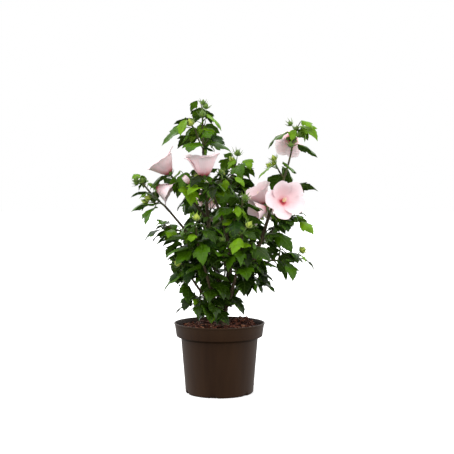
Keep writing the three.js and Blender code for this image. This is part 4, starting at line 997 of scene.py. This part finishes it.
def hibiscusLeaf(add, place, hexCode, cell, upper):
    # hibiscus leaf, living: smooth and half glossy above with sunk, paler veins; matt, paler and with
    # raised veins below. Side veins are drawn about 8 mm apart, as on a leaf of 60 mm
    local = add("SeparateXYZ", {0: fromCell(add, cell, blade["cells"])})
    centred = add("Math", {"operation": "SUBTRACT", 0: local.outputs["Y"], 1: 0.5})
    across = add("Math", {"operation": "ABSOLUTE", 0: centred})
    forward = add("Math", {
        "operation": "MULTIPLY_ADD", 0: across, 1: -blade["ribSlope"], 2: local.outputs["X"]})
    spaced = add("Math", {"operation": "MULTIPLY", 0: forward, 1: 7.0})
    away = add("Math", {"operation": "PINGPONG", 0: spaced, 1: 0.5})
    sideVein = add("MapRange", {
        "From Min": 0.0, "From Max": 0.12, "To Min": 0.7, "To Max": 0.0, "Value": away})
    midrib = add("MapRange", {
        "From Min": 0.004, "From Max": 0.022, "To Min": 1.0, "To Max": 0.0, "Value": across})
    vein = add("Math", {"operation": "MAXIMUM", 0: sideVein, 1: midrib})
    patch = add("TexNoise", {"Scale": 1 / 0.018, "Detail": 3.0, "Vector": place})
    greens = [(0.35, shaded(hexCode, 0.78)), (0.65, shaded(hexCode, 1.18))]
    ground = add("ValToRGB", {"stops": greens, "Fac": patch})
    veinShare = add("Math", {"operation": "MULTIPLY", 0: vein, 1: 0.12 if upper else 0.35})
    veinColour = mix(np.array(linear(hexCode)), np.array(linear("#a9c46a")), 0.5)
    colour = add("Mix", {"data_type": "RGBA", 0: veinShare, 6: ground, 7: veinColour})
    bump = add("Bump", {"Strength": 0.5, "Distance": 0.0006, "invert": upper, "Height": vein})
    return add("BsdfPrincipled", {
        "Roughness": 0.3 if upper else 0.6, "Specular IOR Level": 0.11 if upper else 0.05,
        "Base Color": colour.outputs[2], "Normal": bump})


# the first four tints run from painted shade to painted light, by where a leaf stands in the crown
leafNames = ("shadeLeaf", "halfLitLeaf", "sunLeaf", "youngAndSunlitLeaf", "blueGreenLeaf",
             "leafUnderside", "youngAndSunlitLeafUnderside")
leafFinishes = []
for i, (name, hexCode) in enumerate(zip(leafNames, blade["tints"] + blade["undersides"])):
    leafFinishes.append(newMaterial(name, hibiscusLeaf, hexCode, i, i < len(blade["tints"])))
for name, leaves in (("mainLeaves", mainLeaves), ("fineLeaves", fineLeaves)):
    newPiece(name, [bladeParts(leaves)], leafFinishes, list(masses), crease=80)


# Twigs, leaf stalks and flower stalks.
twig = {"sides": 8, "ringSpacing": 4, "stalkSides": 5, "stalkRings": 6, "node": 0.22, "fineGap": 8}


def stemPart(stem, gap):
    # a thin tapering tube that swells at each leaf by node e^-(distance / 1.5)^2
    line = centreLine(stem)
    length = lengthOf(line)
    rings = max(6, int(length / twig["ringSpacing"]) + 1)
    t = np.linspace(0, 1, rings)
    _, u, v = lineFrame(line, t)
    along = t * length
    off = along - np.round(along / gap) * gap
    radius = mix(*stem["radii"], t) * (1 + twig["node"] * np.exp(-(off / 1.5) ** 2))
    radius = np.repeat(radius[:, None], twig["sides"], axis=1)
    centres = np.concatenate([line(t[:1]), line(t), line(t[-1:])])
    u, v = (np.concatenate([k[:1], k, k[-1:]]) for k in (u, v))
    radius = np.concatenate([0 * radius[:1], radius, 0 * radius[:1]])
    return roundPart(ringSurface(centres, u, v, radius), rings + 2, twig["sides"], 0, 2)


def stalkPart(starts, ends, radius, sag):
    # many thin stalks at once, each a line from start to end that sags or lifts by sag 4t(1 - t)
    starts, ends = np.array(starts), np.array(ends)
    radius = np.broadcast_to(radius, len(starts))
    rings, sides = twig["stalkRings"], twig["stalkSides"]
    t = np.concatenate([[0], np.linspace(0, 1, rings), [1]])[None, :, None]
    lift = np.array([0, 0, 1.0]) * (sag * np.linalg.norm(ends - starts, axis=1))[:, None, None]
    lift = lift * 4 * t * (1 - t)
    centres = starts[:, None] + (ends - starts)[:, None] * t + lift
    ahead = unit(ends - starts)
    side = np.where(np.abs(ahead[:, 1:2]) > 0.8, [1.0, 0, 0], [0, 1.0, 0])
    u, v = squareTo(ahead, side)
    u, v = (np.repeat(k[:, None], rings + 2, axis=1) for k in (u, v))
    shape = np.concatenate([[0], np.linspace(1.25, 0.9, rings), [0]])
    full = radius[:, None, None] * shape[None, :, None] * np.ones(sides)
    return roundPart(ringSurface(centres, u, v, full), rings + 2, sides, 1, 2, 1)


def greenWood(name, dark, light):
    # this year's wood: smooth, faintly downy and semi-matt, green flushed with brown on the lit side
    stops = [(0.35, linear(dark)), (0.65, linear(light))]
    sheen = {"Roughness": 0.55, "Specular IOR Level": 0.35}
    return newMaterial(name, mottled, (0.012, 4.0, 0.5), stops, 0.0012, (0.4, 0.0002), sheen)


allLeaves = mainLeaves + fineLeaves
allBuds = sum(buds.values(), [])
twigParts = [stemPart(stem, mass["gap"]) for mass in masses.values() for stem in stemsOf(mass)]
twigParts += [stemPart(stem, twig["fineGap"]) for stem in fineTwigs]
lengths = np.array([leaf["length"] for leaf in allLeaves])
bloomRoots = [centreLine(masses[bloom["mass"]])(bloom["at"]) for bloom in blooms]
twigParts.append(stalkPart([leaf["root"] for leaf in allLeaves], [leaf["base"] for leaf in allLeaves],
                           0.35 + lengths / 110, 0.06))
twigParts.append(stalkPart([bud["root"] for bud in allBuds], [bud["at"] for bud in allBuds], 1.0, 0.0))
twigParts.append(stalkPart(bloomRoots, [bloom["calyx"] for bloom in blooms], 1.3, 0.04))
greenFinishes = [greenWood("firstYearTwig", "#332a17", "#4a4a1e"),
                 greenWood("leafStalk", "#3c5818", "#5a7526")]
newPiece("twigsAndStalks", twigParts, greenFinishes, list(masses), crease=60)


# The flowers: five broad petals that overlap round a red eye, a cream column, and a green calyx.
petal = {
    "rows": 18, "columns": 17, "centre": 0.1, "halfFoot": 0.12, "halfWidth": 0.15, "shoulder": 0.2,
    "narrowed": 0.16, "pinch": 3.4, "bow": 2.2, "flare": 3.0, "overlap": 1.8, "ruffle": 1.8,
    "thickness": 0.5, "lean": 6, "leanFrom": (0.2, 0.6), "furledBelow": 12,
}


def turned(points, axis, angle):
    # p cos(a) + (k x p) sin(a) + k (k . p)(1 - cos(a)) turns p about the unit axis k by the angle a
    cos, sin = np.cos(angle)[..., None], np.sin(angle)[..., None]
    return points * cos + np.cross(axis, points) * sin + (points @ axis)[..., None] * axis * (1 - cos)


def petalGrid(bloom, number, draw):
    # t runs from the foot to the rim and w from edge to edge; the rim is rounded by s = t (1 - shoulder
    # |w|^3) and by a width that drops as 1 - narrowed t^6, the middle bows out by bow (1 - w^2) s, one
    # edge lies over the next petal, the rim flares and ruffles, and the upper part leans in or out; the
    # petals of a small bloom are still furled
    p = petal
    t, w = np.meshgrid(np.linspace(0, 1, p["rows"]), np.linspace(-1, 1, p["columns"]), indexing="ij")
    phase, other, lean, swell = 6.28 * draw(), 6.28 * draw(), p["lean"] * (2 * draw() - 1), draw()
    s = t * (1 - p["shoulder"] * np.abs(w) ** 3) * (0.95 + 0.1 * swell)
    half = mix(p["halfFoot"], p["halfWidth"], smoothStep(t, 0, 0.55)) * (1 - p["narrowed"] * t ** 6)
    turn = p["centre"] + number / 5 + half * w
    radius, height, angle, face, u, v = funnelPoint(bloom, turn, s)
    size = bloom["radius"] / 40
    if bloom["radius"] < p["furledBelow"]:
        radius = bloom["radius"] * (0.25 + 0.5 * np.sin(np.pi * (0.1 + 0.8 * s)))
        angle = angle + 1.6 * s
        lean = 0
    rim = np.maximum(0, s) ** 3
    ruffle = p["ruffle"] * (np.sin(3.1 * w + phase) + 0.5 * np.sin(8.3 * w + other)) * rim
    bowed = p["bow"] * (1 - w ** 2) * s + p["flare"] * rim ** 2 - p["pinch"] * (1 - smoothStep(s, 0, 0.12))
    radius = radius + size * (bowed + p["overlap"] * w * s + 0.8 * ruffle)
    height = height + size * ruffle
    points = height[..., None] * face + around(u, v, angle, radius)
    middle = 2 * np.pi * (p["centre"] + bloom.get("spin", 0) + number / 5)
    axis = np.cross(face, between(u, v, middle))
    lean = (lean + bloom.get("leans", (0,) * 5)[number]) * smoothStep(s, *p["leanFrom"])
    points = turned(points, axis, np.radians(lean)) + bloom["calyx"]
    alongway, acrossway = np.gradient(points, axis=0), np.gradient(points, axis=1)
    normal = unit(np.cross(acrossway, alongway))
    full = np.sqrt(np.maximum(0, 1 - w ** 2)) * np.minimum(1, 4 * (1 - t)) * np.minimum(1, 6 * t)
    return points, points - normal * (p["thickness"] * full)[..., None]


def petalParts():
    # each petal has a back and a front that meet along its edges
    p = petal
    faces = gridFaces(p["rows"], p["columns"])
    corners = gridCorners(p["rows"], p["columns"])[..., ::-1]
    made = []
    for index, bloom in enumerate(blooms):
        draw = series(seeds["petals"] + index)
        for number in range(5):
            back, front = petalGrid(bloom, number, draw)
            made.append(part(back.reshape(-1, 3), faces, inCell(corners, 1, 2), 1))
            made.append(part(front.reshape(-1, 3), faces[:, ::-1], inCell(corners[:, ::-1], 0, 2), 0))
    return made


def petalTissue(add, place, cell, stops, inner):
    # a mallow petal: thin, soft and matt, so light comes through it; near white with a pink flush, with
    # faint veins that fan out from the foot, and a red eye that shows through more widely at the back
    local = add("SeparateXYZ", {0: fromCell(add, cell, 2)})
    along, across = local.outputs["X"], local.outputs["Y"]
    cloud = add("TexNoise", {"Scale": 1 / 0.014, "Detail": 3.0, "Vector": place})
    shifted = add("Math", {"operation": "MULTIPLY_ADD", 0: cloud, 1: 0.1, 2: along})
    stops = [(at, linear(code)) for at, code in stops]
    ground = add("ValToRGB", {"stops": stops, "Fac": shifted})
    fan = add("Math", {"operation": "MULTIPLY", 0: across, 1: 11.0})
    away = add("Math", {"operation": "PINGPONG", 0: fan, 1: 0.5})
    vein = add("MapRange", {"From Min": 0.0, "From Max": 0.3, "To Min": 1.0, "To Max": 0.0, "Value": away})
    fade = add("MapRange", {
        "From Min": 0.1, "From Max": 0.9, "To Min": 0.3, "To Max": 0.03, "Value": along})
    share = add("Math", {"operation": "MULTIPLY", 0: vein, 1: fade})
    colour = add("Mix", {"data_type": "RGBA", 0: share, 6: ground, 7: linear("#e39aa5")})
    bump = add("Bump", {"Strength": 0.12, "Distance": 0.0004, "invert": inner, "Height": vein})
    return add("BsdfPrincipled", {
        "Roughness": 0.65, "Specular IOR Level": 0.2, "Sheen Weight": 0.1, "Sheen Roughness": 0.5,
        "Subsurface Weight": 0.15, "Subsurface Radius": (0.0008, 0.0005, 0.0005), "Subsurface Scale": 1.0,
        "Base Color": colour.outputs[2], "Normal": bump})


faceStops = [(0.06, "#96202c"), (0.1, "#bd3a46"), (0.15, "#eeb8bf"), (0.3, "#f4d9dd"), (0.8, "#efd6da"),
             (1.0, "#f0dade")]
backStops = [(0.1, "#842a24"), (0.19, "#b85656"), (0.32, "#efbfc4"), (0.52, "#f8dade"), (1.0, "#fae6e9")]
petalFinishes = [newMaterial("petalFace", petalTissue, 0, faceStops, True),
                 newMaterial("petalBack", petalTissue, 1, backStops, False)]
newPiece("petals", petalParts(), petalFinishes, list(masses), crease=120)


# Calyxes, buds and the thin bracts that stand round them.
budShape = {
    "rows": 11, "sides": 15, "ribs": 0.09, "bracts": 9, "bractWidth": 2.6, "bractRows": 6, "bractSides": 4,
    "bractThickness": 0.28,  # in shares of the width
    "budBract": 2.4, "budSpread": (0.24, 0.44), "budClear": 0.85,  # lengths in shares of the bud's radius
    "bloomBract": 13, "bloomSpread": (1.7, 1.2), "bloomClear": 1, "bloomDrop": 2.4,
    "sepal": 6.5, "cup": 3.5, "below": 3, "waist": 6.5, "calyxRows": 9, "calyxSides": 40,
    "fullFrom": 24,  # radius in mm of a bloom whose calyx is nearly full size
}


def budParts(grown):
    # radius R sin(pi s^0.7) (1.25 - 0.6 s) with five ribs, on an axis from the bud's foot to its tip
    b = budShape
    s = np.linspace(0, 1, b["rows"])
    angle = turnsOf(b["sides"])
    outline = np.maximum(0, np.sin(np.pi * s ** 0.7)) * (1.25 - 0.6 * s)
    outline[[0, -1]] = 0
    profile = outline[:, None] * (1 + b["ribs"] * np.cos(5 * angle) * np.sin(np.pi * s)[:, None])
    made = []
    for i, bud in enumerate(grown):
        centres = bud["at"] + bud["faces"] * (s * bud["length"])[:, None]
        u, v = (np.repeat(k[None], b["rows"], axis=0) for k in squareToFace(bud["faces"]))
        tint = i % 2
        rings = ringSurface(centres, u, v, bud["radius"] * profile)
        made.append(roundPart(rings, b["rows"], b["sides"], tint, 2, tint))
    return made


def bractPart(at, faces, reach, spread, clear, draw):
    # thin pointed strips round a foot: each bulges out by the clearance to lie round the bud and goes on
    # at the spread, bending back out, its width going as sin(pi t^0.6)
    b = budShape
    u, v = squareToFace(faces)
    count = b["bracts"]
    turn = (np.arange(count) + 0.5 * draw()) / count * 2 * np.pi
    out = around(u, v, turn)
    t = np.linspace(0, 1, b["bractRows"])[None, :, None]
    length = reach * (0.8 + 0.4 * np.array([draw() for _ in range(count)]))[:, None, None]
    lean = (0.8 + 0.4 * np.array([draw() for _ in range(count)]))[:, None, None]
    slope = lean * mix(*spread, t)
    off = 1.2 + clear * smoothStep(t, 0, 0.4) + length * t * np.sin(slope)
    centres = at + faces * (length * t * np.cos(slope)) + out[:, None] * off
    ahead = unit(np.gradient(centres, axis=1))
    across = unit(np.cross(ahead, out[:, None]))
    normal = np.cross(ahead, across)
    wide = np.maximum(0, np.sin(np.pi * (0.12 + 0.88 * t[..., 0]) ** 0.6)) * b["bractWidth"] / 2
    width = np.broadcast_to(wide[..., None], (count, b["bractRows"], b["bractSides"])).copy()
    width[:, [0, -1]] = 0
    strips = ringSurface(centres, across, normal, width, b["bractThickness"] * width)
    return roundPart(strips, b["bractRows"], b["bractSides"], 2, 2, 2)


def calyxPart(bloom):
    # a cup that clasps the petals from below their foot, a little outside the funnel, whose rim runs up
    # into five points, height cup + sepal ((1 + cos 5a) / 2)^1.3
    b = budShape
    rows, sides = b["calyxRows"], b["calyxSides"]
    size = min(1, bloom["radius"] / b["fullFrom"] + 0.25)
    s = np.linspace(0, 1, rows)[:, None]
    angle = turnsOf(sides)
    point = ((1 + np.cos(5 * angle)) / 2) ** 1.3
    height = size * s * (b["cup"] + b["sepal"] * point)
    below = size * b["below"]
    funnel, _, _, face, u, v = funnelPoint(bloom, 0.0, np.maximum(0, height - 0.8 * below) / bloom["depth"])
    snug = size * b["waist"] + 0 * height if bloom["radius"] < petal["furledBelow"] else funnel + 1.5
    radius = np.minimum(snug, 1.3 + 2.4 * height) * (1 - 0.06 * np.cos(10 * angle) * s)
    foot = bloom["calyx"] - below * face
    outer = foot + height[..., None] * face + around(u, v, angle, radius)
    inner = outer[::-1] - 0.5 * around(u, v, angle)
    inner[0] = outer[-1]
    ends = [np.broadcast_to(place, (1, sides, 3)) for place in (foot, foot + 0.6 * face)]
    closed = np.concatenate([ends[0], outer, inner[1:], ends[1]])
    return roundPart(closed.reshape(-1, 3), len(closed), sides, 2, 2, 2)


def sepalGreen(name, dark, light):
    # sepals and bracts, living: downy and matt yellow-green, in soft patches
    stops = [(0.32, linear(dark)), (0.68, linear(light))]
    sheen = {"Roughness": 0.65, "Specular IOR Level": 0.3, "Sheen Weight": 0.2, "Sheen Roughness": 0.5}
    return newMaterial(name, mottled, (0.005, 3.0, 0.5), stops, 0.0009, (0.5, 0.0002), sheen)


budPieces = budParts(allBuds) + [calyxPart(bloom) for bloom in blooms]
bractDraw = series(seeds["bracts"])
for bud in allBuds:
    radius = bud["radius"]
    budPieces.append(bractPart(bud["at"], bud["faces"], budShape["budBract"] * radius, budShape["budSpread"],
                               budShape["budClear"] * radius, bractDraw))
for bloom in blooms:
    foot = bloom["calyx"] - budShape["bloomDrop"] * bloom["faces"]
    budPieces.append(bractPart(foot, bloom["faces"], budShape["bloomBract"], budShape["bloomSpread"],
                               budShape["bloomClear"], bractDraw))
budFinishes = [sepalGreen("budSepal", "#42611a", "#698428"),
               sepalGreen("youngBudSepal", "#7d9028", "#aab844"),
               sepalGreen("bract", "#3c5f14", "#75922c")]
newPiece("budsAndCalyxes", budPieces, budFinishes, list(masses), crease=60)


# The column in the middle of each open flower, with its anthers and five stigmas.
column = {
    "height": 0.62, "radii": (1.5, 0.9), "rows": 10, "sides": 8, "foot": 3, "anthers": 34,
    "antherRadius": 0.85, "standOff": 2.6, "from": 0.38,
    "stigmas": 5, "stigmaRadius": 0.9, "stigmaRise": 3, "stigmaReach": 1.8, "ballRings": 5, "ballSides": 6,
}


def ballPoints(centres, radius):
    # small balls of three rings of six points between two poles
    polar = np.radians(np.linspace(0, 180, column["ballRings"]))[:, None]
    angle = turnsOf(column["ballSides"])
    level = np.sin(polar)
    shape = np.stack([level * np.cos(angle), level * np.sin(angle), -np.cos(polar) + 0 * angle], -1)
    shape[[0, -1], :, :2] = 0
    return np.asarray(centres)[:, None] + radius * shape.reshape(-1, 3)


def columnParts(bloom, draw):
    # a tapering column up the flower's axis, with anthers set round it by golden turns
    c = column
    face = bloom["faces"]
    u, v = squareToFace(face)
    foot = bloom["calyx"] + c["foot"] * face
    length = c["height"] * bloom["depth"]
    t = np.linspace(0, 1, c["rows"])
    centres = foot + face * (t * length)[:, None]
    radius = np.repeat(mix(*c["radii"], t)[:, None], c["sides"], axis=1)
    radius[[0, -1]] = 0
    sides = (np.repeat(k[None], c["rows"], 0) for k in (u, v))
    made = [roundPart(ringSurface(centres, *sides, radius), c["rows"], c["sides"], 0, 2)]
    k = np.arange(c["anthers"])
    at = mix(c["from"], 1.0, k / c["anthers"])
    out = around(u, v, np.radians(goldenTurn) * k)
    places = foot + face * (at * length)[:, None] + out * (c["standOff"] * (0.8 + 0.4 * draw()))
    made.append(roundPart(ballPoints(places, c["antherRadius"]), c["ballRings"], c["ballSides"], 1, 2, 1))
    out = around(u, v, turnsOf(c["stigmas"]))
    tips = foot + face * (length + c["stigmaRise"]) + out * c["stigmaReach"]
    made.append(roundPart(ballPoints(tips, c["stigmaRadius"]), c["ballRings"], c["ballSides"], 0, 2))
    return made


def pollenCream(name, hexCode, grain):
    # the stamens' column and anthers: waxy cream tissue, and mealy pollen that scatters light
    stops = [(0.35, shaded(hexCode, 0.8)), (0.65, linear(hexCode))]
    sheen = {"Roughness": 0.6, "Specular IOR Level": 0.3}
    return newMaterial(name, mottled, (grain, 2.0, 0.5), stops, None, (0.6, 0.0002), sheen)


columnDraw = series(seeds["stamens"])
openBlooms = [bloom for bloom in blooms if bloom["radius"] > petal["furledBelow"]]
columnPieces = sum((columnParts(bloom, columnDraw) for bloom in openBlooms), [])
creams = [pollenCream("staminalColumn", "#f6e3cf", 0.002), pollenCream("pollenAnther", "#f2d9a0", 0.0006)]
newPiece("stamenColumns", columnPieces, creams, list(masses), crease=60)


# Studio: a pale floor, white surroundings that are brightest overhead, behind and at the sides, one
# soft key light, and the camera.
studio = {
    "floorRadius": 14.0, "floorSides": 64, "floorGlow": 0.2, "dimmest": 1.4, "brightest": 1.75, "beside": 3.6,
    "keyStrength": 0.65, "keySize": 40, "keyFrom": (-0.5, -0.6, 1.0),
    "cameraPlace": (0.0157, -2.095, 0.4346), "cameraDown": 2.4125, "lens": 79.69, "sensor": 36.0,
}


def floorFinish(add, place, glow):
    # a white acrylic floor lit from below, so it stays near white under the pot
    return add("BsdfPrincipled", {
        "Base Color": linear("#f8f8f8"), "Roughness": 0.9, "Specular IOR Level": 0.0,
        "Emission Color": (1, 1, 1, 1), "Emission Strength": glow})


def addStudio():
    # the surroundings' light goes from dimmest to brightest, and past that at the sides; they look plain
    # white themselves
    s = studio
    scene = bpy.context.scene
    angle = turnsOf(s["floorSides"])
    rim = np.stack([np.cos(angle), np.sin(angle), 0 * angle], -1) * s["floorRadius"]
    mesh = bpy.data.meshes.new("studioFloor")
    mesh.from_pydata(rim.tolist(), [], [list(range(s["floorSides"]))])
    mesh.materials.append(newMaterial("backlitWhiteFloor", floorFinish, s["floorGlow"]))
    floor = bpy.data.objects.new("studioFloor", mesh)
    scene.collection.objects.link(floor)
    floor.visible_diffuse = False  # the plant gets no light back from the floor
    floor.visible_glossy = False
    world = bpy.data.worlds.new("whiteStudio")
    scene.world = world
    add = clearedTree(world)
    way = add("SeparateXYZ", {0: add("TexCoord", {}).outputs["Generated"]})
    behind = add("MapRange", {"From Min": -0.8, "From Max": 0.5, "Value": way.outputs["Y"]})
    above = add("MapRange", {"From Min": -0.1, "From Max": 0.35, "Value": way.outputs["Z"]})
    high = add("Math", {"operation": "MULTIPLY", 0: behind, 1: above})
    aside = add("Math", {"operation": "ABSOLUTE", 0: way.outputs["X"]})
    beside = add("MapRange", {"From Min": 0.6, "From Max": 1.0, "To Max": s["beside"], "Value": aside})
    lit = add("Math", {"operation": "MAXIMUM", 0: high, 1: beside})
    full = add("MapRange", {"To Min": s["dimmest"], "To Max": s["brightest"], "clamp": False, "Value": lit})
    below = add("MapRange", {
        "From Min": -0.5, "From Max": 0.1, "To Min": 0.3, "To Max": 1.0, "Value": way.outputs["Z"]})
    soft = add("Math", {"operation": "MULTIPLY", 0: full, 1: below})
    seen = add("LightPath", {}).outputs["Is Camera Ray"]
    strength = add("Mix", {0: seen, 2: soft, 3: 1.0})
    light = add("Background", {"Color": (1, 1, 1, 1), "Strength": strength})
    add("OutputWorld", {"Surface": light})
    key = bpy.data.lights.new("keyLight", "SUN")
    key.energy = s["keyStrength"]
    key.angle = math.radians(s["keySize"])
    lamp = bpy.data.objects.new("keyLight", key)
    away = np.array(s["keyFrom"]) / np.linalg.norm(s["keyFrom"])
    lamp.rotation_euler = (math.acos(away[2]), 0, math.atan2(away[0], -away[1]))
    scene.collection.objects.link(lamp)
    camera = bpy.data.objects.new("camera", bpy.data.cameras.new("camera"))
    camera.location = s["cameraPlace"]
    camera.rotation_euler = (math.radians(90 - s["cameraDown"]), 0, 0)
    camera.data.lens = s["lens"]
    camera.data.sensor_width = s["sensor"]
    scene.collection.objects.link(camera)
    bpy.context.scene.camera = camera
    scene.view_settings.view_transform = "Standard"


addStudio()
print("studio ready")
